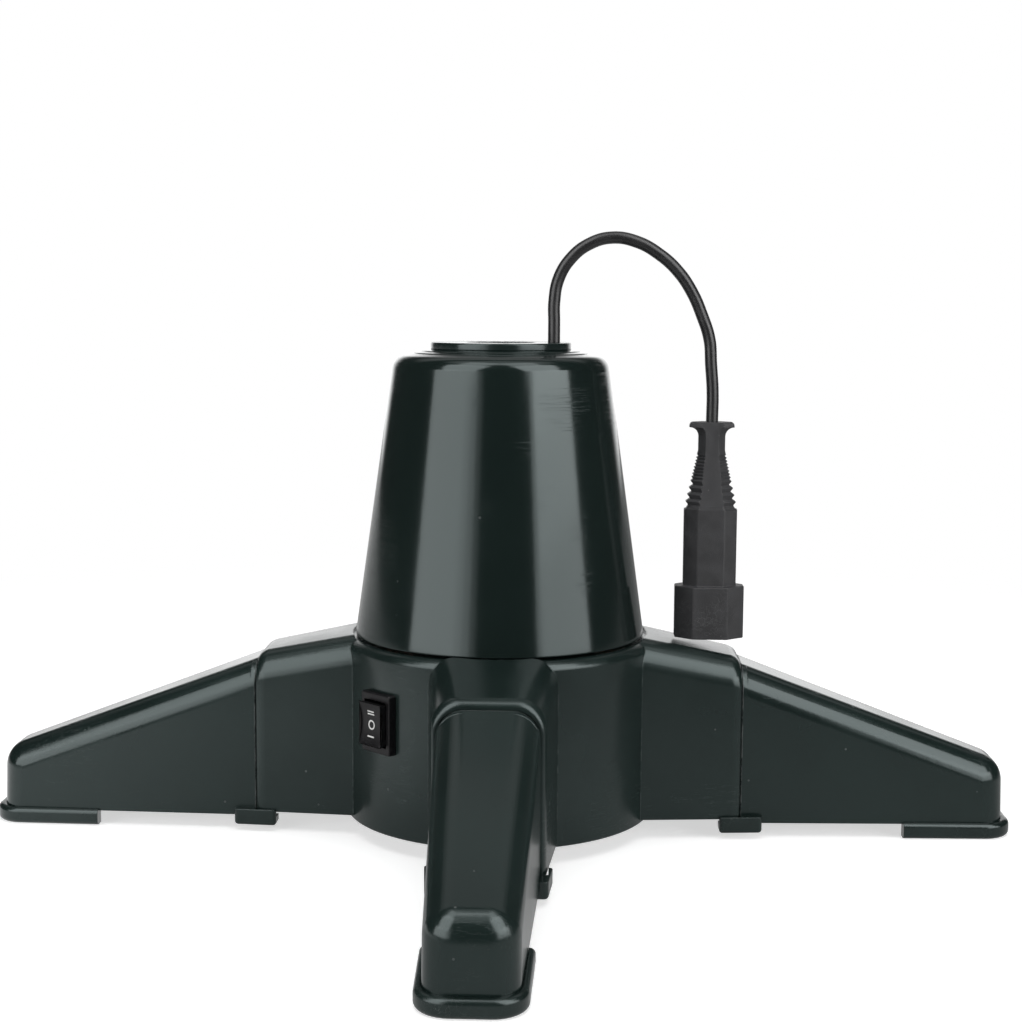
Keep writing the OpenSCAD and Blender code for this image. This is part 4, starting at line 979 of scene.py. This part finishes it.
def fillet_start(edge):
    """The long edges where the leg's side ends and its round upper edge starts."""
    angle = edge.calc_face_angle(0)
    upright_sides = [face for face in edge.link_faces if abs(face.normal.z) < 0.01]
    return 0.01 < angle < 0.2 and abs(run(edge).x) > 0.8 and len(upright_sides) == 1


smooth(leg, crease=fillet_start)
# the seam below gets a painted highlight: a pale broken line just out of the socket's mouth
leg_green = moulding(
    "leg_green", hexed("192422"), 0.2, blotch=0.12, blotch_scale=18, grain_scale=300,
    grain_depth=0.00003, stretch=(60, 700, 260), thinness=0.008, scratch=0.08,
    speck_scale=170, edge=0.0006, wear=0.35, seam=(LEG_X - FIT, LEG_X + 0.55),
    gloss_tint=GREEN_GLOSS,
)
dress(leg, leg_green)


def copies_round(piece, stem):
    """Copies of the right-hand piece for the other legs, each with its own mesh."""
    made = {"right": piece}
    for name in SIDES:
        if name != "right":
            copy = piece.copy()
            copy.data = piece.data.copy()
            copy.name = stem + name
            bpy.context.scene.collection.objects.link(copy)
            turn(copy, math.radians(TURNS[name]))
            made[name] = copy
    return made


for name, copy in copies_round(leg, "leg_moulding_").items():
    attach(copy, name + "_leg")
    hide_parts("leg_" + name)

# ---------------- foot shoes
# A shoe under each leg's end: a dark green moulding with a bull-nosed rim, two arms
# along the leg, a plug that fills the leg's end from below, and grooves in its sole.
SHOE_LOW, SHOE_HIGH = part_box("foot_shoe_right")
SHOE_X = SHOE_LOW.x / MM
SHOE_END_X = SHOE_HIGH.x / MM
SHOE_PROUD = 2.8
SHOE_TOE = SHOE_END_X - LEG_END_X - SHOE_PROUD
SHOE_RIM_Z = LEG_Z + 1
SHOE_PLUG_Z = SHOE_HIGH.z / MM
SHOE_NOSE = 2.5
SHOE_ARM = (12, 4)
SHOE_SEAT_GAP = 0.1
GROOVES = 3
GROOVE_PITCH = 11
GROOVE_HALF = LEG_HALF[1] - 3
GROOVE_W = 3
GROOVE_DEPTH = 1.2
GROOVE_ROUND = 0.5


def leg_half(x):
    return between(*LEG_HALF, (x - LEG_X) / (LEG_END_X - END_ROUND - LEG_X))


def end_plate(name, x0, grow_by, low, high, toe=0.0):
    """A plate with the plan of the leg's end, grown or drawn in, from x0 outwards."""
    half = leg_half(x0) + grow_by
    plate = block(name, (x0, -half, low), (LEG_END_X + grow_by + toe, half, high))
    pick("VERT", lambda v: v.co.x / MM > x0 + 10)
    resize((1, (LEG_HALF[1] + grow_by) / half, 1))
    bevel(END_ROUND + grow_by, 10, lambda e: runs(e, "z") and middle(e).x > x0 + 10)
    return plate


shoe = end_plate("foot_shoe_moulding_right", SHOE_X, SHOE_PROUD, 0, SHOE_RIM_Z, SHOE_TOE)
bevel(SHOE_NOSE, 6, lambda e: abs(run(e).z) < 0.1 and middle(e).x > SHOE_X + 0.5)
carve(shoe, end_plate("seat", SHOE_X - CUT, SHOE_SEAT_GAP, LEG_Z, LEG_Z + 20))
gap_half = leg_half(SHOE_X) - SHOE_ARM[1]
carve(shoe, block("gap", (SHOE_X - CUT, -gap_half, -CUT),
                  (SHOE_X + SHOE_ARM[0], gap_half, LEG_Z - 1)))
plug = end_plate("plug", SHOE_X + 3, -LEG_WALL - SHOE_SEAT_GAP, LEG_Z - 1, SHOE_PLUG_Z)
carve(shoe, plug, "UNION")
for k in range(GROOVES):
    x = SHOE_X + SHOE_ARM[0] + GROOVE_PITCH * (k + 0.5)
    groove = block("groove", (x, -GROOVE_HALF, -CUT), (x + GROOVE_W, GROOVE_HALF, GROOVE_DEPTH))
    bevel(GROOVE_ROUND, 2, lambda e: runs(e, "y") and middle(e).z > 1)
    carve(shoe, groove)
smooth(shoe)
shoe_green = moulding(
    "shoe_green", hexed("192321"), 0.22, blotch=0.14, blotch_scale=40, grain_scale=500,
    grain_depth=0.00004, scratch=0.15, speck=0.35, edge=0.0005, wear=0.3,
    gloss_tint=GREEN_GLOSS,
)
dress(shoe, shoe_green)
for name, copy in copies_round(shoe, "foot_shoe_moulding_").items():
    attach(copy, name + "_leg")
    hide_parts("foot_shoe_" + name)

# ---------------- seam clips
# Two pads on each leg, one on each lower edge. Each grips the leg's side wall and
# reaches past the seam under the socket. Same moulding as the shoes.
CLIP_LOW, CLIP_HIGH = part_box("seam_clips_right")
CLIP_X = (CLIP_LOW.x / MM, CLIP_HIGH.x / MM)
CLIP_OUT = CLIP_HIGH.y / MM
CLIP_IN = LEG_HALF[0] - 3.5
CLIP_Z = (CLIP_LOW.z / MM, CLIP_HIGH.z / MM)
CLIP_TAPER = 1.8
CLIP_ROUNDS = (2, 1.5, 0.4)
ROOM_TOP_Z = 40
SOCKET_CLEAR = 26.75

clips = None
for sign in (1, -1):
    pad = block("seam_clips_moulding_right", (CLIP_X[0], CLIP_IN, CLIP_Z[0]),
                (CLIP_X[1], CLIP_OUT, CLIP_Z[1]))
    pick("VERT", lambda v: v.co.x / MM > LEG_X and v.co.y / MM > CLIP_OUT - 0.1)
    slide(y=-CLIP_TAPER)
    bevel(CLIP_ROUNDS[0], 5, lambda e: middle(e).y > CLIP_OUT - CLIP_TAPER - 0.1 and runs(e, "z"))
    bevel(CLIP_ROUNDS[1], 4,
          lambda e: middle(e).z < CLIP_Z[0] + 0.1 and middle(e).y > CLIP_IN + 0.1)
    bevel(CLIP_ROUNDS[2], 2, lambda e: middle(e).z > CLIP_Z[1] - 0.1 and middle(e).y > CLIP_IN + 3)
    # room for the socket's wall and for the leg's
    carve(pad, block("room", (CLIP_X[0] - CUT, CLIP_IN - CUT, LEG_Z),
                     (LEG_X, SOCKET_CLEAR, ROOM_TOP_Z)))
    room = block("room", (LEG_X - 0.5, CLIP_IN - CUT, LEG_Z),
                 (CLIP_X[1] + CUT, LEG_HALF[0] + FIT, ROOM_TOP_Z))
    pick("VERT", lambda v: v.co.x / MM > LEG_X + 1 and v.co.y / MM > CLIP_IN)
    slide(y=leg_half(CLIP_X[1] + CUT) - LEG_HALF[0])
    carve(pad, room)
    if sign < 0:
        edit(pad)
        pick_all()
        bpy.ops.transform.mirror(constraint_axis=(False, True, False), center_override=(0, 0, 0))
    smooth(pad)
    if clips:
        join(clips, pad)
    else:
        clips = pad
dress(clips, shoe_green)
for name, copy in copies_round(clips, "seam_clips_moulding_").items():
    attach(copy, name + "_leg")
    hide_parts("seam_clips_" + name)

# ---------------- switch
# A three-position rocker switch: a bevelled black frame round the drum's window, and
# a rocker with a hollow face that stands proud of it. The marks are printed white.
FRAME_W = 21
FRAME_H = 29
FRAME_OUT = 3.3
FRAME_BEVEL = 0.9
FRAME_CORNER = 1.3
ROCKER_HALF_W = 7.8
ROCKER_HALF_H = 10.4
PIVOT_X = 1.3
PIVOT_R = 1.5
PIVOT_OUT = 1.3
ROCKER_END = 5.7
ROCKER_DISH = 1.6
DISH_R = (ROCKER_HALF_H ** 2 + ROCKER_DISH ** 2) / (2 * ROCKER_DISH)
ROCKER_DRAW = 2
ROCKER_EDGE = 0.35
POCKET = (7, ROCKER_HALF_W + 0.35, ROCKER_HALF_H + 0.5)
POCKET_CORNER = 0.6
PRINT_UP = 0.03


def to_switch(piece):
    """Takes a piece made about the origin, facing +X, to the switch's place."""
    shift(piece, DRUM_R, 0, SWITCH_Z)
    turn(piece, SWITCH_ANGLE)


def face_x(z):
    """Depth of the rocker's hollow face at a height above its middle."""
    return PIVOT_X + ROCKER_END - ROCKER_DISH + DISH_R - math.sqrt(DISH_R ** 2 - z * z)


switch_frame = block("switch_frame_moulding", (-2, -FRAME_W / 2, -FRAME_H / 2),
                     (FRAME_OUT, FRAME_W / 2, FRAME_H / 2))
bevel(FRAME_CORNER, 4, lambda e: runs(e, "x"))
bevel(FRAME_BEVEL, 3, lambda e: middle(e).x > FRAME_OUT - 0.05 and abs(run(e).x) < 0.1)
drum_tool = rod("drum", DRUM_R + FIT, -WIDE, WIDE, DRUM_SIDES)
shift(drum_tool, -DRUM_R, 0, 0)
carve(switch_frame, drum_tool)
body = block("body", (-SWITCH_BODY[0], -SWITCH_BODY[1] / 2, -SWITCH_BODY[2] / 2),
             (1, SWITCH_BODY[1] / 2, SWITCH_BODY[2] / 2))
carve(switch_frame, body, "UNION")
pocket = block("pocket", (PIVOT_X - POCKET[0], -POCKET[1], -POCKET[2]),
               (FRAME_OUT + CUT, POCKET[1], POCKET[2]))
bevel(POCKET_CORNER, 3, lambda e: runs(e, "x"))
carve(switch_frame, pocket)
smooth(switch_frame)
to_switch(switch_frame)
switch_black = moulding(
    "switch_black", hexed("141416"), 0.34, blotch=0.1, blotch_scale=150, grain_scale=1200,
    grain_depth=0.00002, scratch=0.1, speck=0.4, speck_scale=500, edge=0.0004, wear=0.2,
    gloss_tint=(0.5, 0.48, 0.48),
)
dress(switch_frame, switch_black)
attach(switch_frame, "base")
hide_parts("switch_frame")

rocker = block("switch_rocker_moulding", (PIVOT_X - 4, -ROCKER_HALF_W, -ROCKER_HALF_H),
               (PIVOT_X + ROCKER_END, ROCKER_HALF_W, ROCKER_HALF_H))
pick("VERT", lambda v: v.co.x / MM < PIVOT_X)
resize((1, 1, (ROCKER_HALF_H - ROCKER_DRAW) / ROCKER_HALF_H))
pick("EDGE", lambda e: runs(e, "z") and middle(e).x > PIVOT_X)
bpy.ops.mesh.subdivide(number_cuts=1)
dish = rod("dish", DISH_R, -WIDE, WIDE, 360)
turn(dish, math.pi / 2, "X")
shift(dish, PIVOT_X + ROCKER_END - ROCKER_DISH + DISH_R, 0, 0)
carve(rocker, dish)
edit(rocker)
bevel(ROCKER_EDGE, 3, lambda e: e.calc_face_angle(0) > 0.7 and middle(e).x > PIVOT_X + 1)
pivot = rod("pivot", PIVOT_R, -ROCKER_HALF_W - PIVOT_OUT, ROCKER_HALF_W + PIVOT_OUT, 32)
turn(pivot, math.pi / 2, "X")
shift(pivot, PIVOT_X, 0, 0)
carve(rocker, pivot, "UNION")
smooth(rocker)
to_switch(rocker)
dress(rocker, switch_black)
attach(rocker, "rocker")
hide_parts("switch_rocker")

# the marks, from the top: two bars, a ring and one bar
BAR = (4.9, 0.7)
BAR_CORNER = 0.25
BARS_Z = (6.1, 4.8, -6)
RING_R = (1.6, 2.35)
RING_Z = -0.4
marks = ring_form("switch_marks_print", [
    (RING_R[0], 0), (RING_R[1], 0), (RING_R[1], PRINT_UP), (RING_R[0], PRINT_UP),
], 48)
turn(marks, math.pi / 2, "Y")
shift(marks, 0, 0, RING_Z)
for bar_z in BARS_Z:
    bar = block("bar", (0, -BAR[0] / 2, bar_z - BAR[1] / 2),
                (PRINT_UP, BAR[0] / 2, bar_z + BAR[1] / 2))
    bevel(BAR_CORNER, 3, lambda e: runs(e, "x"))
    join(marks, bar)
for vertex in marks.data.vertices:
    vertex.co.x += (face_x(vertex.co.z / MM) - PRINT_UP / 3) * MM
smooth(marks, 30)
to_switch(marks)
print_white = moulding(
    "print_white", hexed("e6e6e4"), 0.5, blotch=0.04, blotch_scale=400, grain_scale=3000,
    grain_depth=0.000005, scratch=0, speck=0, edge=0.0001, wear=0,
)
dress(marks, print_white)
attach(marks, "rocker")

# ---------------- inner pieces
# What the drum and the tower hold: bearing, gears, motor, slip ring, pole tube and
# their fixings. They keep the frame's own shapes, and each gets its real finish.
TURNED_LINES = 9000
METAL_TONES = (0.86, 1.06)
METAL_ROUGH = (0.85, 1.2)


def metal(name, color, roughness, turned_lines=0.0, scratch=0.2):
    """A bare or plated metal with turning marks round the axis, dulled in patches."""
    material, tree, surface = new_material(name)
    surface.inputs["Metallic"].default_value = 1
    where = add_node(tree, "TexCoord").outputs["Object"]
    skin = place_effect(tree, MOULDED_SKIN, {
        "Vector": where, "Blotch Scale": 90, "Grain Scale": 2400,
    })
    marks = place_effect(tree, SCUFFS, {
        "Vector": where, "Stretch": (500, 500, 2500), "Thinness": 0.03, "Speck Scale": 300,
    })
    tone = add_node(tree, "Mix", {
        "Factor": skin["Tone"], 6: shade(color, METAL_TONES[0]), 7: shade(color, METAL_TONES[1]),
    }, data_type="RGBA")
    link(tone.outputs[2], surface.inputs["Base Color"])
    low, high = (roughness * share for share in METAL_ROUGH)
    rough = calc("ADD", span(skin["Tone"], 0, 1, low, high),
                 calc("MULTIPLY", marks["Scratches"], scratch))
    link(rough, surface.inputs["Roughness"])
    place = add_node(tree, "SeparateXYZ", {"Vector": where}).outputs
    squares = [calc("MULTIPLY", place[axis], place[axis]) for axis in "XY"]
    out = calc("SQRT", calc("ADD", *squares))
    lines = calc("SINE", calc("MULTIPLY", out, TURNED_LINES))
    relief = calc("ADD", skin["Height"], calc("MULTIPLY", lines, turned_lines))
    bump = add_node(tree, "Bump", {"Height": relief, "Distance": 0.00001})
    link(bump.outputs["Normal"], surface.inputs["Normal"])
    return material


zinc = metal("zinc_plate", hexed("b9bcbf"), 0.32)
race_steel = metal("race_steel", hexed("8f9396"), 0.28, 0.6)
ball_steel = metal("ball_steel", hexed("d5d8da"), 0.12)
motor_steel = metal("motor_steel", hexed("b4b8ba"), 0.35)
bronze = metal("bronze", hexed("b08d57"), 0.36, 0.5)
brass = metal("brass", hexed("c9a24e"), 0.3)
copper = metal("copper", hexed("c8743a"), 0.24, 0.5)
gland_black = moulding("gland_black", hexed("1a1a1c"), 0.42, blotch=0.12, grain_depth=0.00004)
tube_black = moulding("tube_black", hexed("2c2f30"), 0.45, blotch=0.1, grain_depth=0.00003)
cover_green = moulding("cover_green", hexed("20282a"), 0.45, blotch=0.12, blotch_scale=26,
                       grain_scale=500, grain_depth=0.00006)
nylon = moulding("nylon", hexed("ded8c4"), 0.42, blotch=0.05, blotch_scale=70, scratch=0.05,
                 wear=0.1)
cage_nylon = moulding("cage_nylon", hexed("c0a66c"), 0.5, blotch=0.1, blotch_scale=150,
                      scratch=0.1, wear=0.1)
board = moulding("laminate_board", hexed("77562b"), 0.55, blotch=0.16, blotch_scale=60,
                 stretch=(80, 1400, 1400), thinness=0.05, scratch=0.3, wear=0.2)
FINISHES = {
    "bottom_cover": cover_green, "inlet_gland": gland_black, "cover_screws": zinc,
    "motor_screws": zinc, "disc_screws": zinc, "collar_screws": zinc, "gear_clip": zinc,
    "guide_bush": bronze, "switch_terminals": brass, "outlet_contacts": brass,
    "contact_leaves": brass, "contact_rings": copper, "contact_holder": gland_black,
    "lead_clamp": gland_black, "inner_lead": lead_black, "gear_motor": motor_steel,
    "motor_pinion": nylon, "drive_gear": nylon, "lower_race": race_steel,
    "upper_race": race_steel, "bearing_balls": ball_steel, "ball_cage": cage_nylon,
    "slip_ring_disc": board, "pole_tube": tube_black,
}
for node_name, material in FINISHES.items():
    dress(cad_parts[node_name], material)

# ---------------- floor and light
# A pale floor that runs out to white, soft boxes left and right of the camera, raised
# panels over them that only glossy surfaces show, and a soft light from above that they
# don't. The camera sees an even white; glossy surfaces see a room with a bright back, and
# a floor with painted light and shade.
FLOOR_HALF = 4.0
FLOOR_GLOW = 0.6
FLOOR_NEAR, FLOOR_FAR = 0.32, 0.9
# the paper in a glossy surface, from left to right, with painted light brightest on the
# left, painted shade towards the camera, a painted shadow close to the object and painted
# shade further out. Each span below runs from one place to another, and from one
# brightness to another.
PAINTED_PAPER_LIGHT = (1.22, 0.56, 0.48)
PAINTED_LIGHT_LEFT = (-0.32, -0.1)
PAINTED_LIGHT_RIGHT = (0.04, 0.22)
PAINTED_SHADE_FRONT = (-0.5, -0.3, 0.3, 1)
PAINTED_SHADOW_CLOSE = (0.08, 0.2, 0.75, 1)
PAINTED_SHADE_OUTER = (0.4, 0.52, 1, 0.5)
BOX_DISTANCE = 1.3
FULL_BOX = (0.06, 0.6)
BOXES = [
    ("left", -70, -33, FULL_BOX, 3.3), ("left_edge", -33, -27, FULL_BOX, 2.8),
    ("left_fade", -27, -21, FULL_BOX, 2.0), ("left_end", -21, -16, FULL_BOX, 0.7),
    ("right_edge", 31, 35, FULL_BOX, 2.2), ("right_low", 35, 76, (0.06, 0.3), 3.2),
    ("right", 35, 76, (0.3, 0.45), 4.1), ("right_high", 35, 76, (0.45, 0.6), 5.2),
]
RAISED = [
    ("left", -42, 42, (0.84, 0.84), 3.6), ("left_top", -40, 69, (0.5, 0.5), 2.2),
    ("right", 46, 42, (0.84, 0.84), 4.2), ("right_top", 40, 69, (0.5, 0.5), 2.2),
]
RAISED_AIM = (0, 0, 0.05)
TOP_SIZE = 2.4
TOP_HEIGHT = 2.2
TOP_POWER = 34
ROOM_LIGHT = 0.15
ROOM_DARK = 0.03
ROOM_OVERHEAD = 0.9
ROOM_BEHIND = 0.5
BACK_LIGHT = 1.7
BACK_Y = (0.78, 0.93)
BACK_Z = (0.36, 0.2, 0.2 * BACK_LIGHT, BACK_LIGHT)
ABOVE_Y = (0.35, 0.1)
ABOVE_Z = (0.8, 0.92, 0, ROOM_OVERHEAD)
BEYOND_Y = (0.35, 0.5)
BEYOND_Z = (0.5, 0.75, 0, ROOM_BEHIND)

clear_selection()
bpy.ops.mesh.primitive_grid_add(
    x_subdivisions=8, y_subdivisions=8, size=2 * FLOOR_HALF, location=(0, 0, 0)
)
floor = bpy.context.object
floor.name = "floor"
paper, tree, surface = new_material("floor_paper")
tree.nodes.remove(surface)
path = add_node(tree, "LightPath").outputs
seen = calc("ADD", path["Is Camera Ray"], path["Is Glossy Ray"], path["Is Transmission Ray"])
seen = calc("MINIMUM", 1, seen)
matt = add_node(tree, "BsdfDiffuse", {"Color": (0.8, 0.8, 0.8, 1)})
glow = add_node(tree, "Emission", {"Strength": calc("MULTIPLY", seen, FLOOR_GLOW)})
near = add_node(tree, "AddShader", {0: matt.outputs[0], 1: glow.outputs[0]})
where = add_node(tree, "TexCoord").outputs["Object"]
reach = add_node(tree, "VectorMath", {0: where}, operation="LENGTH").outputs["Value"]
away = span(reach, FLOOR_NEAR, FLOOR_FAR)
# a glossy surface mirrors the paper with painted light, brightest on the left, and with
# painted shade towards the camera, a painted shadow close to the object and painted shade
# further out
place = add_node(tree, "SeparateXYZ", {"Vector": where}).outputs
left, middle_tone, right = PAINTED_PAPER_LIGHT
across = calc("ADD", span(place["X"], *PAINTED_LIGHT_LEFT, left, middle_tone),
              span(place["X"], *PAINTED_LIGHT_RIGHT, 0, right - middle_tone))
mirrored = calc("MULTIPLY", across, span(place["Y"], *PAINTED_SHADE_FRONT),
                span(reach, *PAINTED_SHADOW_CLOSE), span(reach, *PAINTED_SHADE_OUTER))
# glossy rays see the paper glow with this painted light and shade, other rays with a strength of 1
bright = add_node(tree, "Mix", {
    "Factor": path["Is Glossy Ray"], 2: 1.0, 3: mirrored,
}, data_type="FLOAT")
white = add_node(tree, "Emission", {"Strength": bright.outputs[0]})
both = add_node(tree, "MixShader", {
    0: calc("MAXIMUM", calc("MULTIPLY", away, seen), path["Is Glossy Ray"]),
    1: near.outputs[0], 2: white.outputs[0],
})
link(both.outputs[0], tree.nodes["Material Output"].inputs["Surface"])
floor.data.materials.append(paper)


def soft_light(name, width, height, radiance, place, target):
    """A soft box of one radiance, which the camera doesn't see."""
    lamp = bpy.data.lights.new(name, "AREA")
    lamp.shape = "RECTANGLE"
    lamp.size = width
    lamp.size_y = height
    lamp.energy = radiance * math.pi * width * height
    item = bpy.data.objects.new(name, lamp)
    bpy.context.scene.collection.objects.link(item)
    item.location = place
    item.rotation_euler = (place - Vector(target)).to_track_quat("Z", "Y").to_euler()
    item.visible_camera = False
    return item


def light_place(bearing, out, up):
    """A place by its bearing from straight in front, its distance out and its height."""
    return Vector((out * math.sin(bearing), -out * math.cos(bearing), up))


for name, start, end, (low, high), radiance in BOXES:
    bearing = math.radians((start + end) / 2)
    width = 2 * BOX_DISTANCE * math.tan(math.radians(end - start) / 2)
    place = light_place(bearing, BOX_DISTANCE, (low + high) / 2)
    soft_light("box_" + name, width, high - low, radiance, place, (0, 0, place.z))
for name, bearing, elevation, size, radiance in RAISED:
    bearing, elevation = math.radians(bearing), math.radians(elevation)
    out, up = polar(BOX_DISTANCE, elevation)
    place = light_place(bearing, out, up)
    panel = soft_light("raised_" + name, *size, radiance, place, RAISED_AIM)
    panel.visible_diffuse = False
top_light = soft_light("top", TOP_SIZE, TOP_SIZE, TOP_POWER / (math.pi * TOP_SIZE ** 2),
                       Vector((0, -0.1, TOP_HEIGHT)), (0, 0, 0))
top_light.visible_glossy = False

world = bpy.data.worlds.new("studio")
world.use_nodes = True
bpy.context.scene.world = world
tree = world.node_tree
tree.nodes.clear()
path = add_node(tree, "LightPath").outputs
look = add_node(tree, "TexCoord").outputs["Generated"]
look = add_node(tree, "SeparateXYZ", {"Vector": look}).outputs
# the backdrop behind the stand, the room above it, and what lies between them
behind, above, beyond = (
    calc("MULTIPLY", span(look["Y"], *ys), span(look["Z"], *zs))
    for ys, zs in ((BACK_Y, BACK_Z), (ABOVE_Y, ABOVE_Z), (BEYOND_Y, BEYOND_Z))
)
mirrored = calc("MAXIMUM", behind, above, beyond, ROOM_DARK)
strength = add_node(tree, "Mix", {
    "Factor": path["Is Glossy Ray"], 2: ROOM_LIGHT, 3: mirrored,
}, data_type="FLOAT")
strength = calc("MAXIMUM", strength.outputs[0], path["Is Camera Ray"])
back = add_node(tree, "Background", {"Color": (1, 1, 1, 1), "Strength": strength})
out = tree.nodes.new("ShaderNodeOutputWorld")
link(back.outputs[0], out.inputs["Surface"])
bpy.context.scene.view_settings.view_transform = "Standard"
